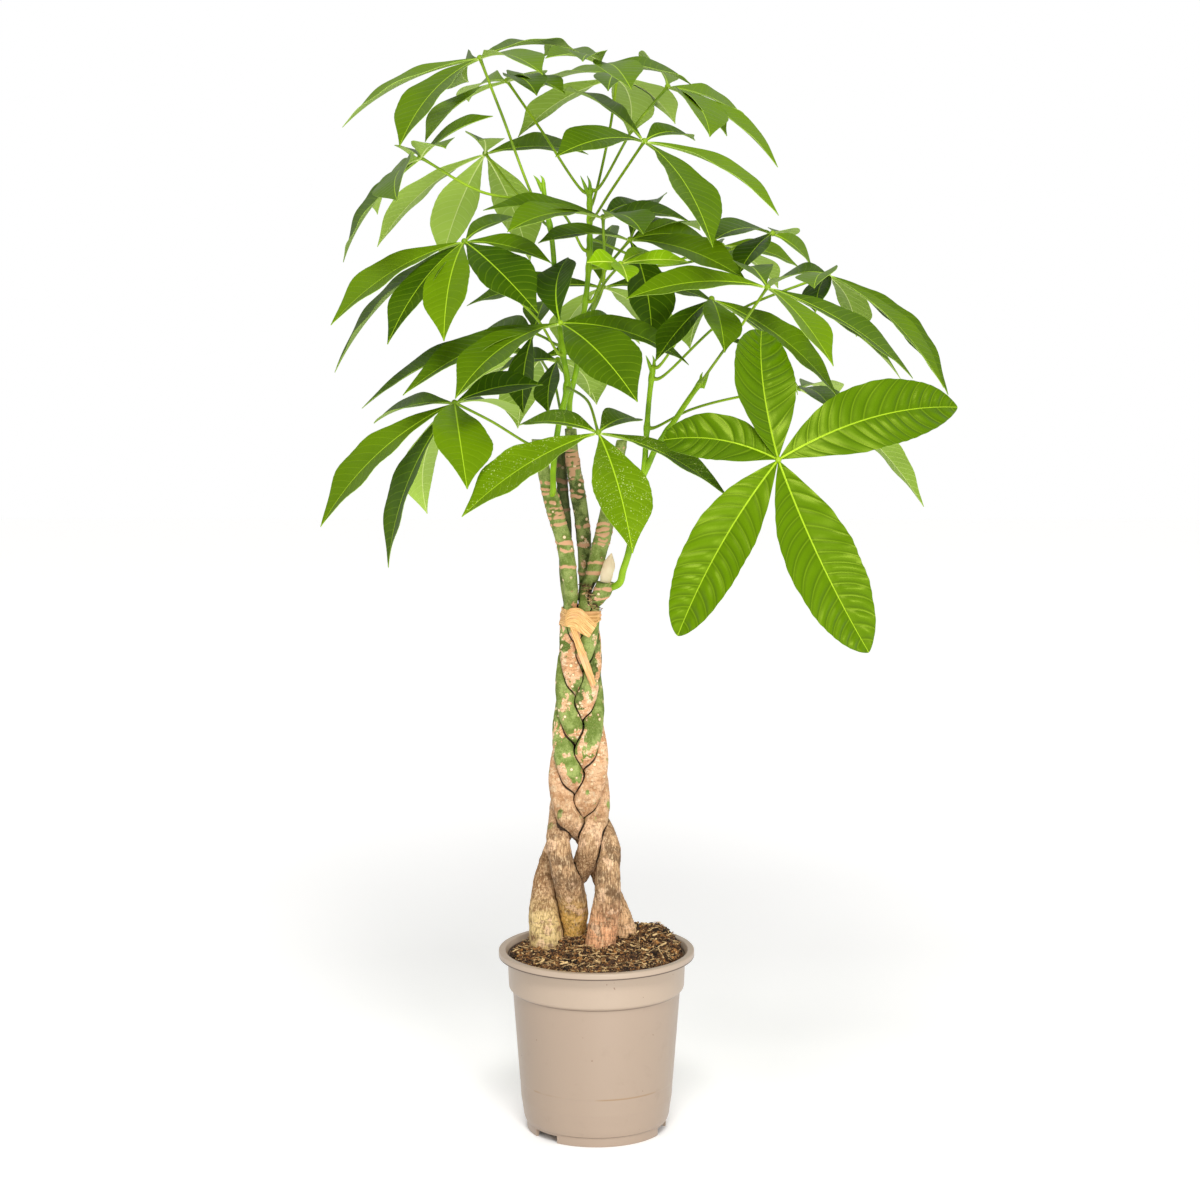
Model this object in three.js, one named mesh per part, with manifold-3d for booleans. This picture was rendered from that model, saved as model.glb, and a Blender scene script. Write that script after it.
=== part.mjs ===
// A potted money tree: five young stems braided together, tied with raffia, standing in a nursery pot.
// Millimetres, +Z up. The origin is on the pot's axis, on the surface that the pot stands on, and the
// plant is seen from the front along +Y: +X is the right of the picture and +Y is away from the viewer.
import * as THREE from 'three';
import { mergeVertices } from 'three/addons/utils/BufferGeometryUtils.js';
import Module from 'manifold-3d';

const manifold = await Module();
manifold.setup();

// ---------------------------------------------------------------- driving dimensions

const GAP = 0.3;              // clearance between one piece and the next that it touches
const ROUND = 24;             // facets round the pot and the soil

const POT = {
  height: 197, rimRadius: 105, collarRadius: 95.5, shoulderHeight: 153, wallRadius: 89.5,
  footRadius: 75, footHeight: 10.5, floor: 4, floorTop: 6.5,
  notches: 3, notchAngle: 223.5, notchWidth: 33, notchTop: 8.2,
  drains: 6, drainRadius: 4, drainCircle: 61.5,
};
const SOIL = {
  edge: 190, crown: 10, lumps: 1.3, radius: 92,
  heap: { x: 62, y: 46, height: 17, spread: 24 },
};

const BRAID = {
  x: -18, y: 10,              // where the middle of the braid stands
  wide: 1.06, deep: 0.95,     // a stem's flattening in the braid
  low: 306, high: 568,        // from the height where the stems come together to the tie
  pitch: 264, phaseHeight: 332,
};
const TIE = { low: 546, high: 565, thickness: 1 };

const BLADE = { thickness: 0.9, root: 0.8, tip: 0.5, fold: 0.22, arch: 0.08 };
const STALK = { foot: 2.3, neck: 1.5, stub: 4, hub: 4.4, sides: 4 };
const SHOOT = { sides: 6, steps: 10, branchSteps: 7, stub: 4.6 };
const STEM = { sides: 8, foot: 150, phaseStep: 20 };

// Half the width of the braid at a few heights, read from the front.
const BRAID_HALF_WIDTHS = [[306, 36.8], [402, 31], [445, 26.8], [488, 23.8], [531, 22.6], [568, 20]];

// The five stems, from the bottom up. `phase` is the stem's place in the braid, in degrees. Below and
// above the braid each row is [x, y, z, half width], then half the depth where the stem is flattened.
const STEMS = [
  { name: 'stem_1', phase: 162,
    below: [[-25, 32, 204, 12.5], [-29, 21, 236, 12.5, 11], [-34, 5, 266, 13, 10], [-40, -7, 292, 12.5, 9.5]],
    above: [[-27, -7, 590, 7.2], [-29, -10, 606, 8.4], [-33, -13, 634, 8.5], [-40, -14, 658, 8.2],
      [-47, -14, 682, 8.5], [-52, -13, 701, 7], [-62, -10, 745, 5.8]] },
  { name: 'stem_2', phase: 234,
    below: [[-57, 13, 206, 16], [-58, 18, 236, 13.5, 13], [-54, 29, 264, 11, 9.5], [-48, 29, 290, 10.5, 9]],
    above: [[-32, 17, 590, 6], [-33, 18, 620, 6.3], [-33, 20, 655, 6.3], [-36, 21, 690, 6],
      [-38, 22, 729, 5.8]] },
  { name: 'stem_3', phase: 90,
    below: [[31, 30, 202, 11], [25, 31, 236, 10.5], [17, 32, 260, 10.5, 10], [6, 32, 284, 10.5, 9.5]],
    above: [[-12, 22, 590, 6], [-12.5, 21, 608, 6.8], [-13, 19, 630, 7.6], [-15, 15, 655, 7.8],
      [-20, 9, 690, 7.8], [-25, 6, 722, 7], [-27, 4, 755, 6.2]] },
  { name: 'stem_4', phase: 306,
    below: [[-12, 58, 203, 11], [-13, 50, 234, 11], [-16, 31, 262, 11, 10], [-17, 16, 288, 11, 9.5]],
    above: [[-11, 8, 583, 5.8], [-5, 4, 598, 7], [2.5, 2, 626, 8.8], [7.5, 1, 645, 8.8],
      [11, 0, 664, 8], [27, -3, 744, 5.8]] },
  { name: 'stem_5', phase: 18,
    below: [[4, -5, 200, 15.5], [8, -7, 236, 14, 13], [10, -9, 264, 13, 11], [8.5, -9, 290, 12, 9.5]],
    above: [[1, -4, 577, 7.4], [7.5, -6.5, 587, 9.4], [9.5, -7, 594, 9.2]] },
];

// The green shoots: where each leaves its stem, the heights and places that it grows through, and its
// thickness from foot to tip. `sheath` is the point of the little sheath at its tip.
const SHOOTS = [
  { name: 'shoot_left', on: 'stem_1', height: 684, radii: [4.2, 2.6],
    through: [[-45, -25, 694], [-45, -25, 712], [-40, -21, 756], [-31, -18, 796], [-30, -17, 808],
      [-35, -16, 836], [-41, -15, 890], [-46, -15, 954], [-52, -15, 987], [-55, -15, 1010]],
    sheath: [-61, -17, 1021] },
  { name: 'shoot_centre', on: 'stem_2', height: 715, radii: [3.8, 2.6],
    through: [[-28, 27, 724], [-28, 27, 740], [-28, 22, 784], [-21, 17, 816], [-16, 14, 853],
      [-10, 12, 900], [-7, 10, 941], [-7, 10, 975], [-7, 10, 1003]],
    sheath: [-13, 8, 1021] },
  { name: 'shoot_right', on: 'stem_5', height: 586, radii: [3.9, 2.6],
    through: [[24, -13, 594], [28, -16, 608], [34, -18, 628], [39, -16, 656], [46, -12, 692],
      [50, -10, 716], [52, -6, 744], [55, -5, 786], [59, -5, 821]],
    sheath: [55, -8, 836],
    branch: { name: 'right_branch', radii: [3.4, 2.6],
      through: [[48, -10, 704], [54, -11, 718], [63, -12, 738], [79, -12, 761], [92, -12, 781],
        [110, -12, 807]] } },
];

// The compound leaves. `height` is where the stalk leaves its shoot, and `hub` is where the leaflets
// meet. Each tip is [right, back, up] from the hub, then the leaflet's width, then how squarely its
// upper side faces the front: 1 is full on, 0 is edge on, and below 0 the front shows its underside.
const LEAVES = [
  { name: 'top_far_left', shoot: 'shoot_left', height: 984, bends: [[-98, -35, 1083]],
    hub: [-118, -40, 1135], tips: [
      [-144, 40, -68, 54, 0.2], [-76, -90, -91, 58, 0.55], [66, -115, -22, 50, 0.3],
      [97, 100, 12, 46, 0.1], [-18, 130, -18, 46, 0.2],
    ] },
  { name: 'top_left', shoot: 'shoot_centre', height: 1001, bends: [[-59, 45, 1067]],
    hub: [-94, 60, 1117], tips: [
      [-82, -70, -65, 54, 0.28], [34, -115, -20, 44, 0.5], [62, -80, -17, 40, 0.25],
      [34, 72, 4, 42, 0.12], [-46, 120, -17, 46, 0.15],
    ] },
  { name: 'top_middle', shoot: 'shoot_left', height: 1015, bends: [[-17, -10, 1093]],
    hub: [6, -60, 1127], tips: [
      [-61, 100, 14, 42, 0.15], [-56, -50, 4, 42, 0.15], [28, -115, -29, 48, 0.7],
      [-19, -105, -2, 38, 0.1], [92, 45, -18, 44, 0.25],
    ] },
  { name: 'top_back', shoot: 'shoot_centre', height: 988, bends: [[14, 70, 1066]],
    hub: [22, 80, 1121], tips: [
      [-107, 70, -60, 50, -0.4], [-88, 110, -8, 46, 0.15], [14, 125, -58, 50, -0.85],
      [64, 95, -45, 44, -0.4], [-10, -100, -18, 36, 0.85],
    ] },
  { name: 'top_right', shoot: 'shoot_centre', height: 1003, bends: [[39, 20, 1067]],
    hub: [74, 20, 1109], tips: [
      [-27, 125, 24, 48, 0.12], [88, 60, -37, 50, 0.25], [40, -105, -54, 56, 0.5],
      [59, -60, -52, 50, 0.3], [113, -30, -83, 52, 0.25],
    ] },
  { name: 'upper_left', shoot: 'shoot_centre', height: 941, bends: [[-40, -20, 984], [-118, -50, 1001]],
    hub: [-178, -60, 1035], tips: [
      [-84, 50, -106, 54, 0.25], [-14, -135, -44, 52, 0.5], [-16, 95, 3, 40, 0.15],
      [75, -35, 40, 42, 0.28], [31, -95, 7, 42, -0.1], [-52, 100, -57, 46, 0.1],
    ] },
  { name: 'upper_back_left', shoot: 'shoot_left', height: 967, bends: [[-87, 80, 1003]],
    hub: [-120, 130, 1043], tips: [
      [-124, 80, -101, 50, -0.35], [-52, 60, -118, 54, -0.8], [46, 80, -117, 58, -0.8],
      [111, 50, 0, 50, 0.4], [-3, -100, 11, 42, -0.9],
    ] },
  { name: 'upper_right', shoot: 'shoot_centre', height: 972, bends: [[16, -60, 1003]],
    hub: [48, -110, 1050], tips: [
      [-87, -85, -17, 52, 0.5], [-82, 90, 54, 44, 0.28], [53, 85, 3, 36, 0.4],
      [132, -30, -73, 50, 0.25], [64, -110, -103, 62, 0.55],
    ] },
  { name: 'middle', shoot: 'shoot_centre', height: 866, bends: [[7, -45, 906]],
    hub: [7, -60, 975], tips: [
      [-121, -20, 7, 48, 0.28], [-94, -95, -14, 50, 0.35], [89, 20, -5, 46, 0.3],
      [39, -115, -16, 50, 0.35], [55, 85, 10, 34, 0.3],
    ] },
  { name: 'middle_right', shoot: 'shoot_centre', height: 889, bends: [[10, 0, 921]],
    hub: [35, 0, 952], tips: [
      [-94, -58, -3, 44, 0.28], [88, 60, -7, 48, 0.45], [117, -60, -40, 54, 0.5],
      [22, -50, -104, 58, 0.8], [35, 110, 43, 44, 0.5], [77, 125, 9, 44, 0.15],
    ] },
  { name: 'young', young: true, shoot: 'shoot_centre', height: 846, bends: [[4, -70, 902]],
    hub: [24, -120, 929], tips: [
      [-33, -30, 2, 26, 0.75], [7, -50, -16, 28, 0.8], [68, 10, 2, 24, 0.6], [32, 45, 11, 24, 0.5],
    ] },
  { name: 'left', shoot: 'shoot_left', height: 835, bends: [[-58, -45, 868], [-98, -70, 911]],
    hub: [-133, -80, 951], tips: [
      [-133, -30, -83, 58, 0.42], [-136, 35, -134, 50, 0.18], [-73, -75, -100, 56, 0.6],
      [-15, -115, -95, 58, 0.9], [76, -85, -69, 60, 0.75], [88, -5, -22, 46, 0.35],
      [69, 85, 19, 44, 0.25],
    ] },
  { name: 'low_left', shoot: 'stem_1', height: 740, bends: [[-108, -80, 770]],
    hub: [-142, -120, 791], tips: [
      [-86, 60, -25, 46, 0.2], [-134, -20, -123, 58, 0.5], [-69, 10, -168, 54, 0.42],
      [-35, 105, -123, 48, -0.6], [18, -120, -75, 62, 0.85], [88, 30, 16, 48, 0.45],
      [61, 110, -26, 42, -0.2],
    ] },
  { name: 'front', shoot: 'shoot_left', height: 799, bends: [[-8, -110, 791]],
    hub: [2, -180, 766], tips: [
      [-132, -50, -78, 58, 0.55], [-81, 60, 2, 46, 0.28], [40, 75, 7, 38, 0.42],
      [126, -40, -60, 46, 0.28], [33, -95, -108, 60, 0.88],
    ] },
  { name: 'front_right', shoot: 'right_branch', height: 755, bends: [[120, -110, 761]],
    hub: [174, -260, 746], tips: [
      [-12, 85, 119, 64, 0.95], [178, 60, 58, 70, 0.95], [87, -20, -183, 76, 0.97],
      [-96, -20, -167, 66, 0.95], [-109, 35, 16, 50, 0.85],
    ] },
  { name: 'right', shoot: 'right_branch', height: 804, bends: [[150, -100, 873]],
    hub: [169, -150, 907], tips: [
      [-140, -20, -11, 46, 0.48], [60, -70, -74, 48, 0.5], [147, 20, -91, 50, 0.35],
      [140, 70, -94, 46, 0.3], [-14, 110, 16, 40, 0.7],
    ] },
  { name: 'inner_right', shoot: 'shoot_right', height: 821, bends: [[96, -40, 868]],
    hub: [117, -70, 893], tips: [
      [-58, -50, -61, 42, 0.55], [-20, 55, -53, 36, -0.5], [132, 30, -102, 54, 0.45],
      [96, 105, -104, 48, 0.15], [10, -85, -50, 44, 0.8],
    ] },
  { name: 'far_right', shoot: 'shoot_right', height: 809, bends: [[138, -18, 874]],
    hub: [238, -30, 917], tips: [
      [-20, -80, -12, 44, 0.3], [-17, -60, -37, 36, 0.6], [126, 0, -124, 56, 0.42],
      [114, -60, -113, 48, 0.32], [39, 95, -68, 46, -0.5], [-62, 80, -20, 42, 0.1],
    ] },
  { name: 'upper_far_right', shoot: 'shoot_centre', height: 923, bends: [[99, 50, 928]],
    hub: [185, 40, 958], tips: [
      [-64, -80, -6, 44, 0.35], [-39, -60, -42, 38, 0.6], [45, 40, -37, 36, 0.4],
      [21, 70, -8, 34, -0.3],
    ] },
  { name: 'low_right', shoot: 'shoot_right', height: 757, bends: [[99, 20, 774], [150, 40, 786]],
    hub: [217, 60, 794], tips: [
      [140, 50, -132, 52, -0.4], [49, 110, -18, 44, -0.3], [27, -90, -17, 40, 0.5],
      [-86, 30, 53, 34, 0.3],
    ] },
  { name: 'back_middle', shoot: 'shoot_centre', height: 870, bends: [[-3, 80, 885]],
    hub: [7, 130, 900], tips: [
      [-150, 40, -22, 50, 0.4], [73, 90, -65, 56, -0.6], [124, 50, -19, 46, 0.4],
      [10, 80, 66, 46, 0.7], [-48, 70, -67, 48, -0.5],
    ] },
  { name: 'low_back', shoot: 'shoot_left', height: 776, bends: [[-45, 60, 800]],
    hub: [-62, 150, 822], tips: [
      [-96, 70, -48, 50, -0.4], [-28, 110, -86, 54, -0.8], [62, 100, -58, 52, -0.6],
      [92, 40, -8, 46, 0.3], [-112, 5, -6, 44, 0.3],
    ] },
  { name: 'inner_left', shoot: 'shoot_left', height: 802, bends: [[-34, 20, 814]],
    hub: [-41, 50, 825], tips: [
      [-9, -60, -53, 34, 0.7], [-69, 70, -21, 44, 0.3], [34, 80, -43, 40, -0.6],
    ] },
  { name: 'inner_left_high', shoot: 'shoot_left', height: 844, bends: [[-54, 10, 850]],
    hub: [-66, 20, 855], tips: [
      [-10, -30, -83, 42, 0.7], [-60, 70, -6, 40, 0.3], [11, 80, 31, 38, 0.8],
    ] },
  { name: 'big_front', shoot: 'shoot_centre', height: 837, bends: [[-27, -60, 856]],
    hub: [-36, -110, 870], tips: [
      [76, -115, -71, 68, 0.8], [7, 95, 64, 46, 0.85], [-202, 25, -87, 50, 0.25],
      [-155, -50, -69, 56, 0.35], [-100, -110, -68, 58, 0.5], [81, 100, -25, 46, 0.3],
      [131, 60, -45, 48, 0.4],
    ] },
  { name: 'far_back_right', shoot: 'shoot_centre', height: 951, bends: [[68, 90, 927]],
    hub: [137, 150, 944], tips: [
      [11, -70, -30, 34, 0.85], [87, 30, -25, 40, 0.4], [66, 70, -48, 46, -0.3],
      [-32, 90, -15, 44, -0.3],
    ] },
];

// ---------------------------------------------------------------- finishes

const finish = (color, roughness) => new THREE.MeshStandardMaterial({ color, roughness, metalness: 0 });
const FINISH = {
  pot: finish('#c3ac94', 0.5),
  soil: finish('#3d2a1c', 1),
  bark: finish('#b39b78', 0.85),
  raffia: finish('#e6b36e', 0.7),
  sheath: finish('#ecd2b0', 0.8),
  shoot: finish('#7fa51e', 0.5),
  leaf: finish('#5d9a06', 0.35),
  youngLeaf: finish('#9fd020', 0.35),
};

// ---------------------------------------------------------------- helpers

const vec = ([x, y, z]) => new THREE.Vector3(x, y, z);
const mix = (a, b, t) => a + (b - a) * t;
const degrees = THREE.MathUtils.degToRad;

// Reads a value off a short table of [where, value] rows, in straight lines between the rows.
function readOff(rows, where) {
  let i = 1;
  while (i < rows.length - 1 && rows[i][0] < where) i += 1;
  const [[x0, y0], [x1, y1]] = [rows[i - 1], rows[i]];
  return mix(y0, y1, THREE.MathUtils.clamp((where - x0) / (x1 - x0), 0, 1));
}

// A closed skin over rings of equal count, each anticlockwise as seen from the end of the loft.
// `crossed` lists the columns whose four-sided faces are split along the other diagonal.
function loft(rings, crossed = []) {
  const count = rings[0].length;
  const index = [];
  for (let k = 1; k < count - 1; k += 1) {
    const end = (rings.length - 1) * count;
    index.push(0, k + 1, k, end, end + k, end + k + 1);
  }
  for (let i = 0; i < rings.length - 1; i += 1) {
    for (let k = 0; k < count; k += 1) {
      const a = i * count + k;
      const b = i * count + ((k + 1) % count);
      const [c, d] = [b + count, a + count];
      if (crossed.includes(k)) index.push(a, b, d, b, c, d);
      else index.push(a, b, c, a, c, d);
    }
  }
  const places = rings.flat().flatMap((point) => point.toArray());
  const geometry = new THREE.BufferGeometry();
  geometry.setAttribute('position', new THREE.Float32BufferAttribute(places, 3));
  geometry.setIndex(index);
  return geometry;
}

// Directions along a line of points: each points from the point before to the point after.
function tangents(points) {
  const last = points.length - 1;
  return points.map((_, i) => {
    const [before, after] = [points[Math.max(i - 1, 0)], points[Math.min(i + 1, last)]];
    return after.clone().sub(before).normalize();
  });
}

// A many-sided tube along a line of points, with its own half width and depth at each. The rings turn
// with the line and don't twist. `first` sets the way that the tube's foot faces.
function tube(points, radii, sides, first) {
  const along = tangents(points);
  if (first) along[0].copy(first);
  let side = new THREE.Vector3(1, 0, 0);
  if (Math.abs(along[0].x) > 0.9) side.set(0, 1, 0);
  const rings = points.map((centre, i) => {
    side = side.clone().addScaledVector(along[i], -side.dot(along[i])).normalize();
    const up = along[i].clone().cross(side);
    const [wide, deep] = radii[i];
    return Array.from({ length: sides }, (_, k) => {
      const turn = (2 * Math.PI * k) / sides;
      const point = centre.clone().addScaledVector(side, wide * Math.cos(turn));
      return point.addScaledVector(up, deep * Math.sin(turn));
    });
  });
  return loft(rings);
}

// A smooth line through a few points, as steps + 1 points.
function smooth(points, steps) {
  return new THREE.CatmullRomCurve3(points, false, 'centripetal').getSpacedPoints(steps);
}

function toSolid(geometry) {
  const bare = geometry.clone();
  for (const name of Object.keys(bare.attributes)) if (name !== 'position') bare.deleteAttribute(name);
  const merged = mergeVertices(bare, 1e-4);
  return new manifold.Manifold(new manifold.Mesh({
    numProp: 3,
    vertProperties: new Float32Array(merged.attributes.position.array),
    triVerts: new Uint32Array(merged.index.array),
  }));
}

function toGeometry(solid) {
  const { vertProperties, triVerts } = solid.getMesh();
  const geometry = new THREE.BufferGeometry();
  geometry.setAttribute('position', new THREE.Float32BufferAttribute(vertProperties, 3));
  geometry.setIndex(new THREE.Uint32BufferAttribute(triVerts, 1));
  return geometry;
}

function fuse(geometries) {
  return toGeometry(geometries.map(toSolid).reduce((whole, piece) => whole.add(piece)));
}

function cut(geometry, tools) {
  return toGeometry(tools.map(toSolid).reduce((whole, tool) => whole.subtract(tool), toSolid(geometry)));
}

const plant = new THREE.Group();

function addPiece(name, geometry, material) {
  geometry.computeVertexNormals();
  const mesh = new THREE.Mesh(geometry, material);
  mesh.name = name;
  plant.add(mesh);
}

// ---------------------------------------------------------------- pot

// A lathe about the vertical axis from [radius, height] points.
function turned(profile) {
  const geometry = new THREE.LatheGeometry(profile.map(([r, z]) => new THREE.Vector2(r, z)), ROUND);
  return geometry.rotateX(Math.PI / 2);
}

const WALL_INSIDE = [[44, POT.floorTop], [51, 11.5], [73, 13], [77.5, 24], [79.6, 53],
  [87.3, 145], [91.6, 154.5], [93, 186]];

function potGeometry() {
  const { height, rimRadius, collarRadius, shoulderHeight, wallRadius, footRadius, footHeight, floor } = POT;
  const body = turned([
    [0, floor], [45, floor], [52, 8.5], [71, 8.5], [71.5, 0], [footRadius, 0], [footRadius, footHeight],
    [77.2, footHeight + 0.8], [79.2, 20], [81.5, 34], [82.2, 53], [wallRadius, shoulderHeight - 8],
    [94, shoulderHeight], [collarRadius, height - 6.5], [rimRadius, height - 6.5], [rimRadius, height - 0.8],
    [rimRadius - 0.9, height], [97.4, height], [96.4, height - 1.5],
    ...WALL_INSIDE.toReversed(), [0, POT.floorTop],
  ]);
  const notches = Array.from({ length: POT.notches }, (_, i) => {
    const angle = degrees(POT.notchAngle + (360 / POT.notches) * i);
    const box = new THREE.BoxGeometry(20, POT.notchWidth, 12);
    return box.translate(footRadius + 3, 0, POT.notchTop - 6).rotateZ(angle);
  });
  const drains = Array.from({ length: POT.drains }, (_, i) => {
    const hole = new THREE.CylinderGeometry(POT.drainRadius, POT.drainRadius, 2 * footHeight, 6);
    hole.rotateX(Math.PI / 2).translate(POT.drainCircle, 0, footHeight);
    return hole.rotateZ((2 * Math.PI * i) / POT.drains);
  });
  return cut(body, [...notches, ...drains]);
}

// ---------------------------------------------------------------- soil

// The height of the soil: a low crown, a heap at the back right, and lumps from crossed ripples.
function soilHeight(x, y) {
  const { edge, crown, lumps, radius, heap } = SOIL;
  const out = Math.min(1, (x * x + y * y) / radius ** 2);
  const away = ((x - heap.x) ** 2 + (y - heap.y) ** 2) / (2 * heap.spread ** 2);
  const ripples = Math.sin(x / 7 + 1.3) * Math.sin(y / 8 + 0.4) + 0.7 * Math.sin((x - y) / 5.3);
  return edge + crown * (1 - out) + heap.height * Math.exp(-away) + lumps * ripples;
}

const SOIL_RINGS = [78, 55, 28];

// The soil fills the pot. Its top is turned flat and then lifted to the soil's height, and each stem
// stands in a plain hole.
function soilGeometry(stems) {
  const side = WALL_INSIDE.map(([r, z], i) => [r - 0.4, i < 3 ? z + 0.5 : z]);
  const flat = side.at(-1)[1];
  const top = SOIL_RINGS.map((r) => [r, flat]);
  const body = turned([[0, POT.floorTop + 0.5], ...side, ...top, [0, flat]]);
  const point = body.attributes.position;
  for (let i = 0; i < point.count; i += 1) {
    if (point.getZ(i) > flat - 1) point.setZ(i, soilHeight(point.getX(i), point.getY(i)));
  }
  const holes = stems.map(({ points: [foot], radii: [[radius]] }) => {
    const hole = [foot.clone().setZ(foot.z - GAP), foot.clone().setZ(POT.height + 60)];
    return tube(hole, hole.map(() => [radius + 0.4, radius + 0.4]), STEM.sides);
  });
  return cut(body, holes);
}

// ---------------------------------------------------------------- stems

// Where a stem runs in the braid at one height. The five stems follow one flat figure of eight, a fifth
// of the way apart: each goes outwards in front and comes back inwards behind.
function braidPoint(phase, z) {
  const angle = degrees(phase + (360 * (z - BRAID.phaseHeight)) / BRAID.pitch);
  const rise = (z - BRAID.low) / (BRAID.high - BRAID.low);
  const slimness = mix(0.325, 0.375, rise);
  const reach = readOff(BRAID_HALF_WIDTHS, z) / (1 + slimness);
  const depth = reach * mix(0.76, 0.98, rise) * Math.tanh(1.2 * Math.sin(2 * angle)) / Math.tanh(1.2);
  const point = vec([BRAID.x + reach * Math.cos(angle), BRAID.y + depth, z]);
  return { point, wide: reach * slimness * BRAID.wide, deep: reach * slimness * BRAID.deep };
}

function stemLine({ phase, below, above }) {
  const steps = Math.round((360 * (BRAID.high - BRAID.low)) / BRAID.pitch / STEM.phaseStep);
  const braid = Array.from({ length: steps + 1 }, (_, i) => {
    return braidPoint(phase, mix(BRAID.low, BRAID.high, i / steps));
  });
  const row = ([x, y, z, wide, deep = wide]) => ({ point: vec([x, y, z]), wide, deep });
  const [x, y, , wide] = below[0];
  const buried = { point: vec([x, y, STEM.foot]), wide, deep: wide };
  const line = [buried, ...below.map(row), ...braid, ...above.map(row)];
  return { points: line.map((step) => step.point), radii: line.map((step) => [step.wide, step.deep]) };
}

function stemGeometry({ points, radii }) {
  const geometry = tube(points, radii, STEM.sides);
  levelEnds(geometry, points);
  return geometry;
}

// Flattens the foot and the cut top of a stem, and stands the buried length upright.
function levelEnds(geometry, points) {
  const point = geometry.attributes.position;
  for (let k = 0; k < STEM.sides; k += 1) {
    for (const ring of [0, 1]) point.setZ(ring * STEM.sides + k, points[ring].z);
    for (const axis of ['X', 'Y']) point[`set${axis}`](STEM.sides + k, point[`get${axis}`](k));
    point.setZ((points.length - 1) * STEM.sides + k, points.at(-1).z);
  }
}

// ---------------------------------------------------------------- tie

// A loop drawn tight round the stems between two heights: straight runs that touch the outermost stem
// in each direction, at `clear` from it.
function wrap(stems, low, high, clear, sides = 16) {
  const edges = Array.from({ length: sides }, (_, k) => {
    const out = new THREE.Vector2(Math.cos((2 * Math.PI * k) / sides), Math.sin((2 * Math.PI * k) / sides));
    const reaches = stems.flatMap((stem) => Array.from({ length: 9 }, (__, i) => {
      const { point, radius: [wide, deep] } = placeOn(stem, mix(low - 1, high + 1, i / 8));
      return out.x * point.x + out.y * point.y + Math.hypot(out.x * wide, out.y * deep);
    }));
    return { out, reach: Math.max(...reaches) + clear };
  });
  return edges.map(({ out: a, reach: p }, k) => {
    const { out: b, reach: q } = edges[(k + 1) % sides];
    const area = a.x * b.y - a.y * b.x;
    return new THREE.Vector2((p * b.y - q * a.y) / area, (q * a.x - p * b.x) / area);
  });
}

// A flat strip given by its corners [x, z]. Its back is at y = front, and `lean` is how many degrees it
// stands out from the stems towards its foot, from the height of its first corner down.
function strip(corners, front, thickness, lean = 0) {
  const shape = new THREE.Shape(corners.map(([x, z]) => new THREE.Vector2(x, z - corners[0][1])));
  const geometry = new THREE.ExtrudeGeometry(shape, { depth: thickness, bevelEnabled: false });
  return geometry.rotateX(Math.PI / 2 - degrees(lean)).translate(0, front, corners[0][1]);
}

function tieGeometry(stems) {
  const inner = wrap(stems, TIE.low, TIE.high, GAP);
  const outer = wrap(stems, TIE.low, TIE.high, GAP + TIE.thickness);
  const ring = new THREE.Shape(outer);
  ring.holes.push(new THREE.Path(inner));
  const band = new THREE.ExtrudeGeometry(ring, { depth: TIE.high - TIE.low, bevelEnabled: false });
  band.translate(0, 0, TIE.low);
  const front = Math.min(...outer.map((p) => p.y));
  const knot = [[-34, 550], [-29, 565.5], [-20.5, 565.5], [-3, 548.5], [-8.5, 535.5]];
  const tail = [[-29.5, 549], [-22, 549], [-1.5, 485.5], [-7, 483.5]];
  return fuse([band, strip(knot, front + 0.6, 1.5), strip(tail, front + 0.2, 0.9, 4)]);
}

// ---------------------------------------------------------------- shoots

// The point and radius of a stem or shoot at one height.
function placeOn({ points, radii }, z) {
  let i = 1;
  while (i < points.length - 1 && points[i].z < z) i += 1;
  const share = THREE.MathUtils.clamp((z - points[i - 1].z) / (points[i].z - points[i - 1].z), 0, 1);
  const along = points[i].clone().sub(points[i - 1]).normalize();
  const radius = radii[i].map((_, side) => mix(radii[i - 1][side], radii[i][side], share));
  return { point: points[i - 1].clone().lerp(points[i], share), radius, along };
}

// The first two points of what grows out of a stem or shoot at one height towards a place: its foot
// stands just clear of the bark, and looks straight out.
function sprout(parent, height, towards, stub) {
  const { point, radius, along } = placeOn(parent, height);
  const out = towards.clone().sub(point);
  out.addScaledVector(along, -out.dot(along)).normalize();
  const skin = Math.max(...radius) + GAP;
  return { out, start: point.clone().addScaledVector(out, skin),
    next: point.clone().addScaledVector(out, skin + stub) };
}

function taper(points, [foot, tip]) {
  return points.map((_, i) => {
    const radius = mix(foot, tip, i / (points.length - 1));
    return [radius, radius];
  });
}

function shootLine(shoot, parent) {
  const path = shoot.through.map(vec);
  const { start, next, out } = sprout(parent, shoot.height, path[0], SHOOT.stub);
  const points = [start, next, ...smooth(path, SHOOT.steps)];
  return { points, radii: taper(points, shoot.radii), out };
}

function branchLine(branch) {
  const points = smooth(branch.through.map(vec), SHOOT.branchSteps);
  return { points, radii: taper(points, branch.radii) };
}

function sheathGeometry(tip, point) {
  const root = tip.clone().add(vec([0, 0, -6]));
  const end = vec(point);
  return tube([root, root.clone().lerp(end, 0.6), end], [[2.2, 2.2], [1.6, 1.6], [0.4, 0.4]], 4);
}

function shootGeometry(shoot, line, branch) {
  const pieces = [tube(line.points, line.radii, SHOOT.sides, line.out)];
  pieces.push(sheathGeometry(line.points.at(-1), shoot.sheath));
  if (branch) pieces.push(tube(branch.points, branch.radii, SHOOT.sides));
  return fuse(pieces);
}

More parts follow.
